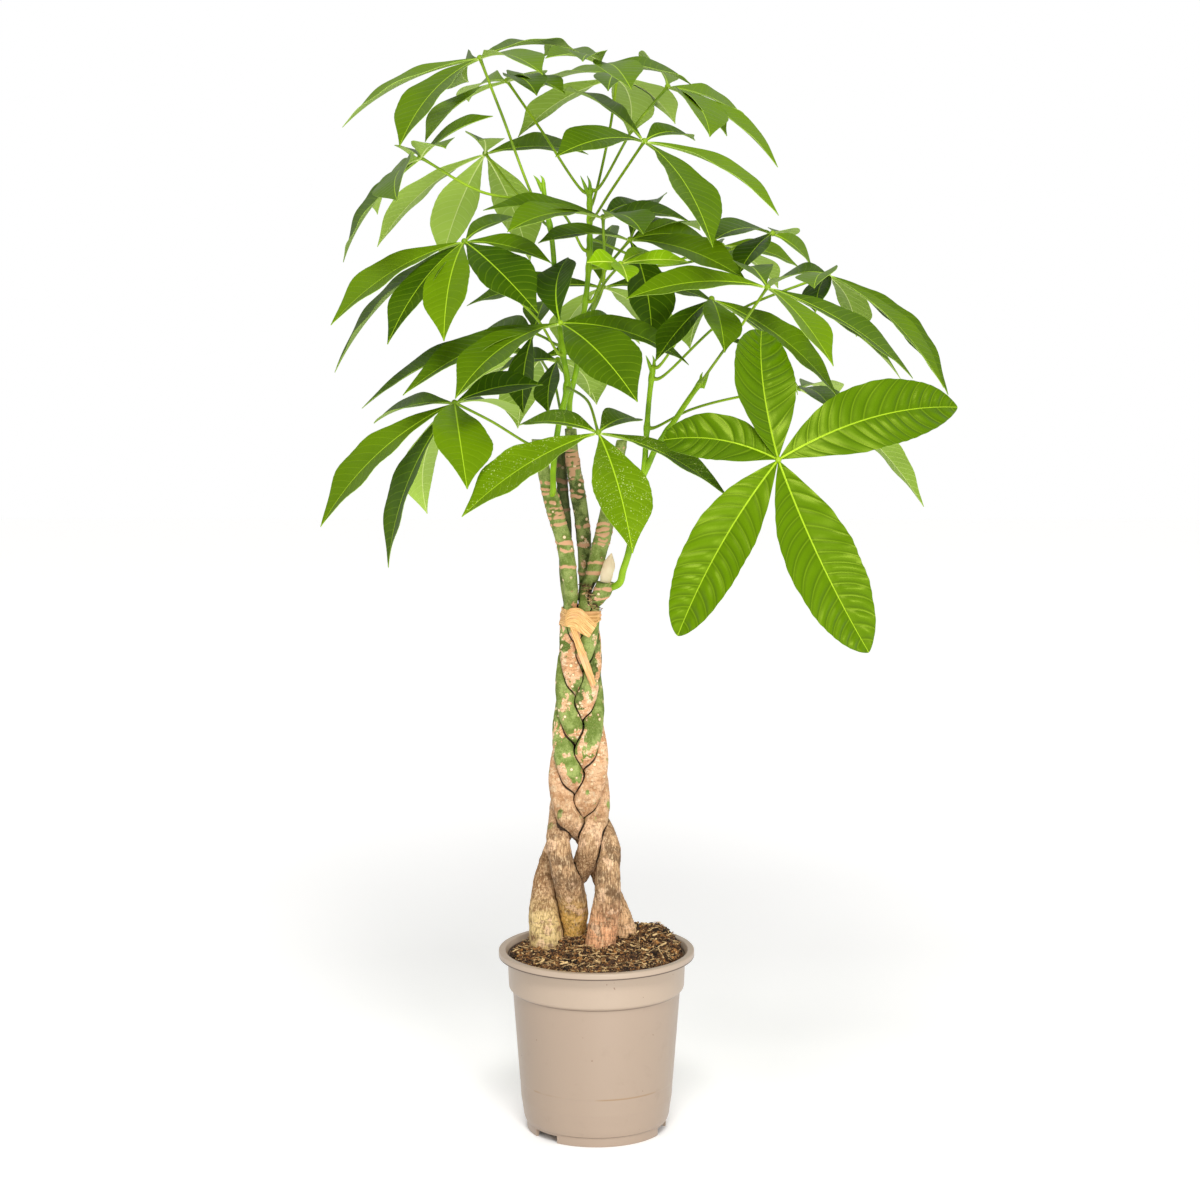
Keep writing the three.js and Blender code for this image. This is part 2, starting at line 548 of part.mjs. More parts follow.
// The pale dry sheath that stands on the cut end of the shortest stem.
function drySheathGeometry(seat) {
  const rows = [[0, 0, 0.2, 4.6, 3], [1.5, 0, 12, 5.2, 2.8], [4, 0, 22, 3.6, 2], [6.5, 0, 31, 0.6, 0.5]];
  const rings = rows.map(([x, y, z, wide, deep]) => Array.from({ length: 6 }, (_, k) => {
    const turn = (Math.PI * k) / 3;
    return seat.clone().add(vec([x + wide * Math.cos(turn), y + deep * Math.sin(turn), z + GAP]));
  }));
  return loft(rings);
}

// ---------------------------------------------------------------- leaves

// How wide a leaflet is along its length: a wedge at the foot, widest past the middle, then a point.
const outline = (t) => Math.sin(Math.PI * t ** 1.3);

const BLADE_STATIONS = [0.25, 0.54, 0.82];

// The way that a leaflet's upper side looks, square to its chord: of the two ways that face the front
// by the same share, the one that looks up more.
function upperSide(chord, open) {
  const front = new THREE.Vector3(0, -1, 0).addScaledVector(chord, chord.y).normalize();
  const side = chord.clone().cross(front);
  const share = Math.sqrt(1 - open * open) * (side.z < 0 ? -1 : 1);
  return front.multiplyScalar(open).addScaledVector(side, share);
}

// One leaflet: a thin blade folded up along its rib, arched between the hub and its tip.
function leafletGeometry(hub, [right, back, up, width, open]) {
  const reach = vec([right, back, up]);
  const length = reach.length();
  const lift = upperSide(reach.clone().normalize(), open);
  const bow = (t) => BLADE.arch * length * 4 * t * (1 - t);
  const place = (t) => hub.clone().addScaledVector(reach, t).addScaledVector(lift, bow(t));
  const stations = [1.2 / length, ...BLADE_STATIONS, 1];
  const line = stations.map(place);
  const along = tangents(line);
  const halves = [BLADE.root, ...BLADE_STATIONS.map((t) => (width / 2) * outline(t)), BLADE.tip];
  const thick = BLADE.thickness / 2;
  const rings = line.map((centre, i) => {
    const half = halves[i];
    const raised = half * BLADE.fold;
    const normal = lift.clone().addScaledVector(along[i], -lift.dot(along[i])).normalize();
    const side = normal.clone().cross(along[i]);
    const corner = (across, height) => {
      return centre.clone().addScaledVector(side, across).addScaledVector(normal, height);
    };
    return [corner(half, raised - thick), corner(half, raised + thick), corner(0, thick),
      corner(-half, raised + thick), corner(-half, raised - thick), corner(0, -thick)];
  });
  return loft(rings, [4, 5]);
}

function leafGeometry(leaf, shoot) {
  const hub = vec(leaf.hub);
  const bends = leaf.bends.map(vec);
  const { start, next, out } = sprout(shoot, leaf.height, bends[0], STALK.stub);
  const line = [start, ...smooth([next, ...bends, hub], 2 + bends.length)];
  const radii = line.map((_, i) => (i < 2 ? [STALK.foot, STALK.foot] : [STALK.neck, STALK.neck]));
  const stalk = tube(line, radii, STALK.sides, out);
  const bead = new THREE.OctahedronGeometry(STALK.hub).translate(...leaf.hub);
  return fuse([stalk, bead, ...leaf.tips.map((tip) => leafletGeometry(hub, tip))]);
}

// ---------------------------------------------------------------- the plant

const named = (rows, make) => Object.fromEntries(rows.map((row) => [row.name, make(row)]));
const stems = named(STEMS, stemLine);
const shoots = named(SHOOTS, (shoot) => shootLine(shoot, stems[shoot.on]));
const branches = named(SHOOTS.filter(({ branch }) => branch).map(({ branch }) => branch), branchLine);
const parents = { ...stems, ...shoots, ...branches };

addPiece('pot', potGeometry(), FINISH.pot);
addPiece('soil', soilGeometry(Object.values(stems)), FINISH.soil);
for (const [name, line] of Object.entries(stems)) addPiece(name, stemGeometry(line), FINISH.bark);
addPiece('tie', tieGeometry(Object.values(stems)), FINISH.raffia);
for (const shoot of SHOOTS) {
  addPiece(shoot.name, shootGeometry(shoot, shoots[shoot.name], branches[shoot.branch?.name]), FINISH.shoot);
}
addPiece('dry_sheath', drySheathGeometry(stems.stem_5.points.at(-1)), FINISH.sheath);
for (const leaf of LEAVES) {
  const material = leaf.young ? FINISH.youngLeaf : FINISH.leaf;
  addPiece(`leaf_${leaf.name}`, leafGeometry(leaf, parents[leaf.shoot]), material);
}

export default plant;
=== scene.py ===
# %% [markdown]
# # A potted money tree
# Five young stems are braided together, tied with a strip of raffia and planted in a plastic nursery
# pot. Above the tie the stems are cut off, and green shoots have grown from three of them. The shoots
# carry leaves like open hands: a long stalk, and three to seven leaflets that meet in one point.
#
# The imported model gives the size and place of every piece. It is built of flat facets, so this script
# puts a finer skin in the place of each of its pieces, and gives every skin a finish of its own.
#
# All the shapes below are surfaces worked out with numpy. Their lengths are in millimetres, as in the
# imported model's own source, and a mesh turns them into metres at the very end. The camera, the lamps
# and the finishes are in metres, because Blender's own places are.

import math

import bpy
import numpy as np
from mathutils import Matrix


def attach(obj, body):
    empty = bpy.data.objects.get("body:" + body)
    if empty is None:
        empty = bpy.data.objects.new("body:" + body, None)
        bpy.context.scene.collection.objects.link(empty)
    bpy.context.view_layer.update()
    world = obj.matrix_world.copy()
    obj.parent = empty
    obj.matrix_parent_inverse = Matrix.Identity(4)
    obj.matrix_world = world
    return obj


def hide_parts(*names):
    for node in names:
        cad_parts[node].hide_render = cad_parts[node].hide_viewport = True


MM = 0.001

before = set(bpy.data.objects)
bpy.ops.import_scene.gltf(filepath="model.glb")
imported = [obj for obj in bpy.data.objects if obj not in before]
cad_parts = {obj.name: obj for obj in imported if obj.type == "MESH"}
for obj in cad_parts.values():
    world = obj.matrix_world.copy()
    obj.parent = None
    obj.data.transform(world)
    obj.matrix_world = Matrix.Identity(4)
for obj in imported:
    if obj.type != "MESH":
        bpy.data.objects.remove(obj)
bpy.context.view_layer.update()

# %% [markdown]
# ## Camera
# The photograph was taken from about the height of the crown with a long lens. A camera 2.9 m away
# that looks down by 8 degrees gives the same view. Its lens follows from the photograph too: the
# focal length is the same share of the sensor's width as it is, in pixels, of the picture's width.

# %% Camera
PHOTO_SIZE = 1200                      # pixels
FOCAL_PIXELS = 2773
SENSOR_MM = 36
CAMERA_PLACE = (0.0038, -2.9, 0.98)
CAMERA_DOWN = 7.96                     # degrees below level

lens = bpy.data.cameras.new("camera")
lens.lens = FOCAL_PIXELS / PHOTO_SIZE * SENSOR_MM
lens.sensor_width = SENSOR_MM
camera = bpy.data.objects.new("camera", lens)
camera.location = CAMERA_PLACE
camera.rotation_euler = (math.radians(90 - CAMERA_DOWN), 0, 0)
bpy.context.scene.collection.objects.link(camera)
bpy.context.scene.camera = camera
print("lens:", round(lens.lens, 1), "mm")

# %% [markdown]
# ## Light and floor
# The studio was bright and white, with hardly a shadow. A large lamp high up in front lights the
# leaves and the pot, and a smaller one at the right brings out the bark. A white sky all round fills
# the shadows, and gives the leaves the grey shine that they have where they are seen edge on. The
# camera should see pure white behind the plant, but so much light would wash the leaves out. A Light
# Path node tells the camera's own rays from the others, so that the sky can look brighter than it
# shines.

# %% Lamps and sky
LAMPS = [
    {"name": "key lamp", "place": (0.0, -2.3, 2.9), "target": (0, 0, 0.7), "size": 0.9, "power": 60},
    {"name": "front lamp", "place": (0.9, -2.8, 0.8), "target": (0, 0, 0.4), "size": 0.6, "power": 36},
]
SKY_SEEN = 1.0
SKY_SHINING = 0.6


def soft_lamp(name, place, target, size, power):
    """A square area lamp that looks at a point."""
    light = bpy.data.lights.new(name, "AREA")
    light.size = size
    light.energy = power
    lamp = bpy.data.objects.new(name, light)
    lamp.location = place
    direction = np.array(target) - np.array(place)
    level = math.hypot(direction[0], direction[1])
    turn = math.atan2(direction[1], direction[0]) - math.pi / 2
    lamp.rotation_euler = (math.pi / 2 + math.atan2(direction[2], level), 0, turn)
    bpy.context.scene.collection.objects.link(lamp)


def white_room(seen, shining):
    """A white world that the camera sees at one brightness, and that lights the scene at another."""
    world = bpy.data.worlds.new("studio")
    world.use_nodes = True
    nodes, link = world.node_tree.nodes, world.node_tree.links.new
    sky = nodes["Background"]
    sky.inputs["Color"].default_value = (1, 1, 1, 1)
    strength = nodes.new("ShaderNodeMapRange")
    strength.inputs["To Min"].default_value = shining
    strength.inputs["To Max"].default_value = seen
    link(nodes.new("ShaderNodeLightPath").outputs["Is Camera Ray"], strength.inputs["Value"])
    link(strength.outputs["Result"], sky.inputs["Strength"])
    bpy.context.scene.world = world


for lamp in LAMPS:
    soft_lamp(**lamp)
white_room(SKY_SEEN, SKY_SHINING)
bpy.context.scene.view_settings.view_transform = "Standard"
print("lamps:", [lamp["name"] for lamp in LAMPS])

# %% Floor
FLOOR_HALF = 6

floor_mesh = bpy.data.meshes.new("floor")
floor_corners = [(x * FLOOR_HALF, y * FLOOR_HALF, 0) for x, y in [(-1, -1), (1, -1), (1, 1), (-1, 1)]]
floor_mesh.from_pydata(floor_corners, [], [(0, 1, 2, 3)])
floor = bpy.data.objects.new("floor", floor_mesh)
bpy.context.scene.collection.objects.link(floor)
print("floor:", 2 * FLOOR_HALF, "m wide")

# %% [markdown]
# ## Shader sums
# A finish is a small graph of shader nodes. Written as nodes, even a short sum is hard to read, so a
# class wraps a socket and lets Python's signs add the Math nodes.


# %% Colours and sums
def rgb(code):
    """A colour such as "#5d9a06", from the screen's scale to the shader's linear one."""
    levels = [int(code[i:i + 2], 16) / 255 for i in (1, 3, 5)]
    return tuple(v / 12.92 if v <= 0.04045 else ((v + 0.055) / 1.055) ** 2.4 for v in levels) + (1,)


class Value:
    """A shader socket that takes part in sums: each sign adds one Math node."""

    def __init__(self, finish, socket):
        self.finish = finish
        self.socket = socket

    def sum(self, operation, first, second):
        """One Math node on two values, or on one value and a number."""
        return self.finish.node("ShaderNodeMath", {"operation": operation}, {0: first, 1: second})

    def __add__(self, other):
        return self.sum("ADD", self, other)

    def __sub__(self, other):
        return self.sum("SUBTRACT", self, other)

    def __rsub__(self, other):
        return self.sum("SUBTRACT", other, self)

    def __mul__(self, other):
        return self.sum("MULTIPLY", self, other)

    def __abs__(self):
        return self.sum("ABSOLUTE", self, 0)

    __radd__ = __add__
    __rmul__ = __mul__

    def fraction(self):
        """What is left over a whole number."""
        return self.sum("FRACT", self, 0)

    def fade(self, low, high):
        """0 below low and 1 above high, with a smooth step between. It falls where low is above high."""
        settings = {"interpolation_type": "SMOOTHSTEP", "clamp": True}
        start, end, at_start, at_end = (low, high, 0, 1) if low < high else (high, low, 1, 0)
        sockets = {"Value": self, "From Min": start, "From Max": end, "To Min": at_start, "To Max": at_end}
        return self.finish.node("ShaderNodeMapRange", settings, sockets)


print("middle grey for the shader:", [round(level, 3) for level in rgb("#808080")])

# %% [markdown]
# The other class is a whole finish. Its `node` method adds any other kind of node, and the rest are
# short names for the few kinds that nearly every finish below needs: places, noise, mixed colours and
# a bump. All patterns are read at the place of each point on the piece, so that they stay on the
# piece when the camera moves.

# %% A finish
MIX_FIRST, MIX_SECOND, MIX_RESULT = 6, 7, 2    # where a Mix node keeps its colours among its sockets


class Finish:
    """One material: a Principled shader, and the nodes that feed it."""

    def __init__(self, name, roughness, **fixed):
        self.material = bpy.data.materials.new(name)
        self.material.use_nodes = True
        self.tree = self.material.node_tree
        self.shader = self.tree.nodes["Principled BSDF"]
        self.shader.inputs["Roughness"].default_value = roughness
        for socket, value in fixed.items():
            self.shader.inputs[socket.replace("_", " ")].default_value = value

    def node(self, kind, settings, sockets, output=0):
        """Adds a node, sets it up, fills its sockets with numbers or links, and gives one output."""
        node = self.tree.nodes.new(kind)
        for key, setting in settings.items():
            setattr(node, key, setting)
        for key, value in sockets.items():
            if isinstance(value, Value):
                self.tree.links.new(value.socket, node.inputs[key])
            else:
                node.inputs[key].default_value = value
        return Value(self, node.outputs[output])

    def place(self):
        """Where on the piece the shader is, in metres."""
        return self.node("ShaderNodeTexCoord", {}, {}, "Object")

    def height(self):
        """How high above the ground that is, in metres."""
        return self.node("ShaderNodeSeparateXYZ", {}, {"Vector": self.place()}, "Z")

    def mark(self, name):
        """A named value that the skin carries at each of its points."""
        return self.node("ShaderNodeAttribute", {"attribute_name": name}, {}, "Fac")

    def noise(self, scale, where=None, detail=3.0, roughness=0.5):
        """Cloudy noise from about 0.3 to 0.7. A spot of it is about 1 / scale metres across."""
        sockets = {"Vector": where or self.place(), "Scale": scale, "Detail": detail, "Roughness": roughness}
        return self.node("ShaderNodeTexNoise", {}, sockets, "Fac")

    def stretched(self, x, y, z):
        """The place with its axes scaled, which draws a pattern out along the smallest."""
        return self.node("ShaderNodeVectorMath", {"operation": "MULTIPLY"}, {0: self.place(), 1: (x, y, z)})

    def mix(self, share, first, second):
        """One colour blended into another. A colour is a code or the output of another mix."""
        first, second = [rgb(c) if isinstance(c, str) else c for c in (first, second)]
        sockets = {"Factor": share, MIX_FIRST: first, MIX_SECOND: second}
        return self.node("ShaderNodeMix", {"data_type": "RGBA"}, sockets, MIX_RESULT)

    def drive(self, socket, value):
        """Lets a value feed one of the shader's own sockets."""
        self.tree.links.new(value.socket, self.shader.inputs[socket])

    def bump(self, height, depth, strength=1.0):
        """Tilts the light's view of the surface by a height of 0 to 1, which stands for `depth` mm."""
        sockets = {"Height": height, "Distance": depth * MM, "Strength": strength}
        self.drive("Normal", self.node("ShaderNodeBump", {}, sockets))


# %% [markdown]
# The floor in the photograph is so bright that it runs into the white behind it. A plain floor would
# end in a grey line at the back. So this one also glows, a little more far off than near, and not at
# all right under the pot, where it would light the pot from below.

# %% Floor finish
UNDER_POT = (0.066, 0.08)              # metres from the pot's axis at which the glow begins
FAR_OFF = (0.2, 2.4)

floor_finish = Finish("pale floor", 0.6)
floor_finish.shader.inputs["Base Color"].default_value = rgb("#f4f3f1")
floor_finish.shader.inputs["Emission Strength"].default_value = 1.0
from_pot = {0: floor_finish.place()}
off_axis = floor_finish.node("ShaderNodeVectorMath", {"operation": "LENGTH"}, from_pot, "Value")
glow = floor_finish.mix(off_axis.fade(*FAR_OFF), "#888888", "#b0b0b0")
floor_finish.drive("Emission Color", floor_finish.mix(off_axis.fade(*UNDER_POT), "#000000", glow))
floor_mesh.materials.append(floor_finish.material)
print("floor nodes:", len(floor_finish.tree.nodes))

# %% [markdown]
# ## Surfaces
# Nearly every piece of a plant is a tube or a thin blade, and both are rings of points in a row. So one
# function joins rings into a closed skin, and another puts several skins into one mesh. A skin's volume
# shows whether it is inside out, in which case its faces are turned round.


# %% Skins
def skin(rings, finish=0, **marks):
    """Closes rows of rings (rows x around x 3) with quads, and the two ends with one face each.

    `finish` is the number of the skin's finish, or one for each column of faces. `marks` are named
    values, one for each point, which a finish can read. The volume has the sign of the sum over the
    quads of (two opposite corners, seen from the middle) . (one diagonal x the other).
    """
    rows, around = rings.shape[:2]
    row = np.arange(rows - 1)[:, None] * around
    here = np.arange(around)[None, :]
    after = (here + 1) % around
    quads = np.stack([row + here, row + after, row + around + after, row + around + here], -1)
    points = rings.reshape(-1, 3)
    first, third = points[quads[..., 0]], points[quads[..., 2]]
    second, fourth = points[quads[..., 1]], points[quads[..., 3]]
    middle = points.mean(0)
    volume = np.einsum("ijk,ijk->", first + third - 2 * middle, np.cross(third - first, fourth - second))
    ends = [np.arange(around)[::-1], (rows - 1) * around + np.arange(around)]
    if volume < 0:
        quads = quads[..., ::-1]
        ends = [end[::-1] for end in ends]
    finishes = np.broadcast_to(np.asarray(finish), (rows - 1, around)).ravel()
    values = {name: np.broadcast_to(value, (rows, around)).ravel() for name, value in marks.items()}
    return {"points": points, "quads": quads.reshape(-1, 4), "ends": ends, "finishes": finishes,
            "marks": values}


def joined(skins):
    """All points, faces and finish numbers of several skins, with the faces counted on from skin to skin."""
    faces, numbers, start = [], [], 0
    for part in skins:
        faces += (part["quads"] + start).tolist() + [(end + start).tolist() for end in part["ends"]]
        numbers += part["finishes"].tolist() + [int(part["finishes"][0])] * len(part["ends"])
        start += len(part["points"])
    return np.concatenate([part["points"] for part in skins]), faces, numbers


print("side faces of 3 rings of 4 points:", len(skin(np.zeros((3, 4, 3)))["quads"]))


# %% Pieces
def piece(name, skins, finishes, nodes=(), sharp=40):
    """Puts skins into one mesh, gives it its finishes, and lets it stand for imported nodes."""
    points, faces, numbers = joined(skins)
    mesh = bpy.data.meshes.new(name)
    mesh.from_pydata(points * MM, [], faces)
    mesh.polygons.foreach_set("material_index", numbers)
    mesh.polygons.foreach_set("use_smooth", np.ones(len(faces), bool))
    for mark in skins[0]["marks"]:
        values = np.concatenate([part["marks"][mark] for part in skins])
        mesh.attributes.new(mark, "FLOAT", "POINT").data.foreach_set("value", values.astype(np.float32))
    for finish in finishes:
        mesh.materials.append(finish.material)
    mesh.set_sharp_from_angle(angle=math.radians(sharp))
    thing = bpy.data.objects.new(name, mesh)
    bpy.context.scene.collection.objects.link(thing)
    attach(thing, "root")
    if nodes:
        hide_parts(*nodes)
    return thing


# %% [markdown]
# ## Lines and noise
# A stem, a shoot and a stalk each follow a line through a few known places, and a tube is laid round
# the line as rings that stand square to it. Bark, soil and leaves are also uneven. Blender's own noise
# can colour a surface and tilt its light, but the outline would stay smooth, so a small noise in numpy
# moves the points themselves.


# %% Directions, lines and tubes
def unit(vectors):
    """Each vector over its own length."""
    return vectors / np.linalg.norm(vectors, axis=-1, keepdims=True)


def blend(value, low, high):
    """0 below low, 1 above high, and a smooth step between: s^2 (3 - 2 s)."""
    share = np.clip((value - low) / (high - low), 0, 1)
    return share * share * (3 - 2 * share)


def spread(points, count):
    """A smooth line through a few points, as `count` points: a cubic between each two neighbours, whose
    slope at a point is that of the line from the point before to the point after."""
    points = np.asarray(points, float)
    gaps = np.sqrt(np.linalg.norm(np.diff(points, axis=0), axis=1))
    knots = np.concatenate([[0], np.cumsum(gaps)])
    slopes = np.gradient(points, knots, axis=0)
    where = np.linspace(0, knots[-1], count)
    leg = np.clip(np.searchsorted(knots, where, side="right") - 1, 0, len(points) - 2)
    gap = gaps[leg][:, None]
    share = (where[:, None] - knots[leg][:, None]) / gap
    start, end = points[leg], points[leg + 1]
    return (start * (1 + 2 * share) * (1 - share) ** 2 + end * share ** 2 * (3 - 2 * share)
            + gap * slopes[leg] * share * (1 - share) ** 2 - gap * slopes[leg + 1] * share ** 2 * (1 - share))


def frames(line):
    """The three directions at each point of a line: along it, sideways and back. Sideways is the x axis
    made square to the line, or the y axis where a part of the line runs nearly along x."""
    along = unit(np.gradient(line[:, :3], axis=0))
    level = np.eye(3)[0 if np.abs(along[:, 0]).max() < 0.95 else 1]
    side = unit(level - (along @ level)[:, None] * along)
    return along, side, np.cross(along, side)


def round_turn(count):
    """`count` angles, once round."""
    return np.linspace(0, 2 * np.pi, count, endpoint=False)


def tube(line, wide, deep, sides):
    """Rings round a line: centre + wide cos(turn) side + deep sin(turn) back, both square to the line."""
    along, side, back = frames(line)
    turn = round_turn(sides)[None, :, None]
    wide, deep = [np.broadcast_to(size, len(line))[:, None, None] for size in (wide, deep)]
    return line[:, None] + wide * np.cos(turn) * side[:, None] + deep * np.sin(turn) * back[:, None]


def round_ball(rows, around, cap):
    """A ball of radius 1 as rings from pole to pole: (sin b cos a, sin b sin a, cos b). `cap` is how far
    the first ring stands from the pole."""
    turn = round_turn(around)
    rise = np.linspace(cap, np.pi - cap, rows)[:, None]
    return np.stack([np.sin(rise) * np.cos(turn), np.sin(rise) * np.sin(turn), np.cos(rise) + 0 * turn], -1)


print("a line through 3 places:", spread([[0, 0, 0], [2, 0, 5], [0, 0, 10]], 5).round(1).tolist())


# %% Noise
def lattice(cells, seed):
    """A number from -1 to 1 for each whole-numbered place, always the same for the same place: the three
    numbers are multiplied by large ones, mixed bit by bit, and the last 16 bits are kept."""
    mixed = (cells[..., 0] * 73856093) ^ (cells[..., 1] * 19349663) ^ (cells[..., 2] * 83492791)
    mixed = (mixed ^ (seed * 2654435761)) & 0xFFFFFFFF
    mixed = ((mixed ^ (mixed >> 13)) * 1274126177) & 0xFFFFFFFF
    return ((mixed ^ (mixed >> 16)) & 0xFFFF) / 32767.5 - 1


def noise(points, size, seed=0):
    """Smooth lumps `size` mm across: random numbers on a lattice of cubes, blended between corners."""
    scaled = points / size
    cells = np.floor(scaled).astype(np.int64)
    part = scaled - cells
    part = part * part * (3 - 2 * part)
    total = 0
    for corner in np.ndindex(2, 2, 2):
        weight = np.prod(np.where(corner, part, 1 - part), axis=-1)
        total = total + weight * lattice(cells + np.array(corner), seed)
    return total


print("noise along a line:", noise(np.outer(np.arange(5), [3.0, 0, 0]), 8).round(2).tolist())

# %% [markdown]
# ## The pot
# A nursery pot is moulded in thin plastic: a tapered wall, a wider collar, a rolled rim and a foot
# ring with three notches that let water out. It is a lathe shape, so one profile is carried round the
# axis. The profile's corners are rounded, because a sharp edge catches no light. In the notches the
# ring is lifted, and the columns of the surface stand close together at their sides.

# %% Pot shape
# [radius, height] from the middle of the underside, up the outside, over the rim and down the inside.
POT_PROFILE = [
    (0, 4), (45, 4), (52, 8.5), (71, 8.5), (71.5, 0), (75, 0), (75.3, 9.8), (77.2, 11.2), (78.6, 16),
    (79.6, 24), (81.5, 36), (82.4, 53), (82.7, 54), (89.8, 150.5), (90.3, 153), (93.9, 156), (94.3, 159),
    (95.5, 191), (102.5, 191), (103.5, 189.8), (105, 189.8), (105, 196), (104, 197), (98, 197),
    (93.9, 188), (92.4, 160), (92, 157.5), (88.2, 152.5), (87.6, 149.5), (80.2, 50), (76.5, 20),
    (74.5, 14), (60, 11), (50, 10.6), (44, 6.5), (0, 6.5),
]
POT_CORNER = 1.3
POT_COLUMNS = 144
FOOT_RING = (70.5, 76)                 # the radii that it lies between
NOTCH_CENTRES = [223.5, 343.5, 103.5]  # degrees
NOTCH_HALF = 12.6                      # degrees
NOTCH_TOP = 8.2


def rounded(profile, radius, steps=4):
    """Rounds each inner corner with a short curve that starts `radius` mm before it, or less where the
    sides are short: start (1 - s)^2 + 2 corner s (1 - s) + end s^2."""
    profile = np.array(profile, float)
    line = [profile[0]]
    for before, corner, after in zip(profile, profile[1:], profile[2:]):
        into, out = before - corner, after - corner
        reach = min(radius, 0.4 * np.linalg.norm(into), 0.4 * np.linalg.norm(out))
        start, end = corner + unit(into) * reach, corner + unit(out) * reach
        share = np.linspace(0, 1, steps + 1)[:, None]
        line.extend(start * (1 - share) ** 2 + 2 * corner * share * (1 - share) + end * share ** 2)
    return np.array([*line, profile[-1]])


def turn_columns(count, notch_centres, half):
    """Angles round the pot in degrees, with a close pair at each side of each notch."""
    even = np.linspace(0, 360, count, endpoint=False)
    sides = [(c + s * (half + d)) % 360 for c in notch_centres for s in (-1, 1) for d in (-0.03, 0.03)]
    return np.unique(np.concatenate([even, sides]))


def pot_skin():
    """The profile carried round the axis, (r cos a, r sin a, z), with the foot ring lifted in a notch."""
    profile = rounded(POT_PROFILE, POT_CORNER)
    angles = turn_columns(POT_COLUMNS, NOTCH_CENTRES, NOTCH_HALF)
    away = np.min([np.abs((angles - c + 180) % 360 - 180) for c in NOTCH_CENTRES], axis=0)
    radius, height = profile[:, :1], np.repeat(profile[:, 1:], len(angles), axis=1)
    in_ring = (radius > FOOT_RING[0]) & (radius < FOOT_RING[1])
    height = np.where((away < NOTCH_HALF) & in_ring, np.maximum(height, NOTCH_TOP), height)
    turn = np.radians(angles)
    return skin(np.stack([radius * np.cos(turn), radius * np.sin(turn), height], -1))


print("points in the rounded profile:", len(rounded(POT_PROFILE, POT_CORNER)))

# %% [markdown]
# The plastic is taupe and half matt. What makes it look used is what lies on it: dust, a few specks,
# and a line low down where stacked pots have rubbed. A dark line under the rim, under the collar and
# over the foot ring is painted shade, and a painted highlight lightens the collar and the rim.

# %% Pot finish
COLLAR_FOOT = (0.153, 0.158)           # metres up, where the collar begins, above which a painted highlight lightens the plastic
# Each line of painted shade: its height and half width in metres, and how dark it is.
SHADE_LINES = [(0.1904, 0.0013, 0.9), (0.1534, 0.001, 0.6), (0.0108, 0.0007, 0.5)]
RUBBED_LINE = 0.054


def pot_finish():
    """Taupe plastic with faint mould streaks, a little dust, a painted highlight on the collar and the rim,
    lines of painted shade under the rim, under the collar and over the foot ring, a rubbed line low down,
    and a few dark specks."""
    finish = Finish("taupe plastic", 0.4)
    high = finish.height()
    streak = finish.noise(9, finish.stretched(1, 1, 0.12), detail=2)
    dust = finish.noise(55, detail=5, roughness=0.7).fade(0.55, 0.8)
    colour = finish.mix(streak, "#9d8977", "#a99583")
    colour = finish.mix(dust * 0.2, colour, "#837160")
    # painted highlight: the collar and the rim lighter than the wall below
    colour = finish.mix(high.fade(*COLLAR_FOOT) * 0.5, colour, "#bca995")
    # painted shade: dark lines in the recesses under the rim, under the collar and over the foot ring
    for height, half, dark in SHADE_LINES:
        colour = finish.mix(abs(high - height).fade(half, half / 3) * dark, colour, "#4c3c30")
    rubbed = abs(high - RUBBED_LINE).fade(0.0012, 0.0004) * finish.noise(16).fade(0.5, 0.62)
    colour = finish.mix(rubbed * 0.6, colour, "#94744c")
    speck = finish.noise(230, detail=1).fade(0.79, 0.81)
    colour = finish.mix(speck * 0.7, colour, "#6b4a30")
    finish.drive("Base Color", colour)
    finish.drive("Roughness", 0.3 + 0.12 * finish.noise(120))
    finish.bump(finish.noise(420, detail=2), 0.06, 0.5)
    return finish


print("dark lines on the pot:", [height for height, half, dark in SHADE_LINES], "m up")

# %% [markdown]
# The floor of the pot has six drain holes. Holes don't fit a lathe's grid, so they are cut with a
# Boolean modifier, and the cut is applied at once, which leaves a plain mesh.

# %% The pot and its drain holes
POT_SHARP = 35                         # degrees from which an edge stays sharp
DRAINS = 6
DRAIN_CIRCLE = 61.5
DRAIN_RADIUS = 4
DRILL_RUN = (-5, 22)                   # the heights that the drill passes through
DRILL_SIDES = 20


def drill(thing, radius, circle, count):
    """Drills upright holes on a circle through the floor of a pot, and applies the cut."""
    holes = []
    for i in range(count):
        turn = 2 * math.pi * i / count
        line = np.array([[circle * math.cos(turn), circle * math.sin(turn), z] for z in DRILL_RUN])
        holes.append(skin(tube(line, radius, radius, DRILL_SIDES)))
    cutter = piece("drill", holes, [pot_finish()])
    cut = thing.modifiers.new("holes", "BOOLEAN")
    cut.operation = "DIFFERENCE"
    cut.object = cutter
    bpy.context.view_layer.update()
    drilled = thing.evaluated_get(bpy.context.evaluated_depsgraph_get())
    mesh = bpy.data.meshes.new_from_object(drilled)
    thing.modifiers.clear()
    thing.data = mesh
    mesh.set_sharp_from_angle(angle=math.radians(POT_SHARP))
    bpy.data.objects.remove(cutter)


pot = piece("nursery_pot", [pot_skin()], [pot_finish()], ["pot"], sharp=POT_SHARP)
drill(pot, DRAIN_RADIUS, DRAIN_CIRCLE, DRAINS)
print("pot faces:", len(pot.data.polygons))
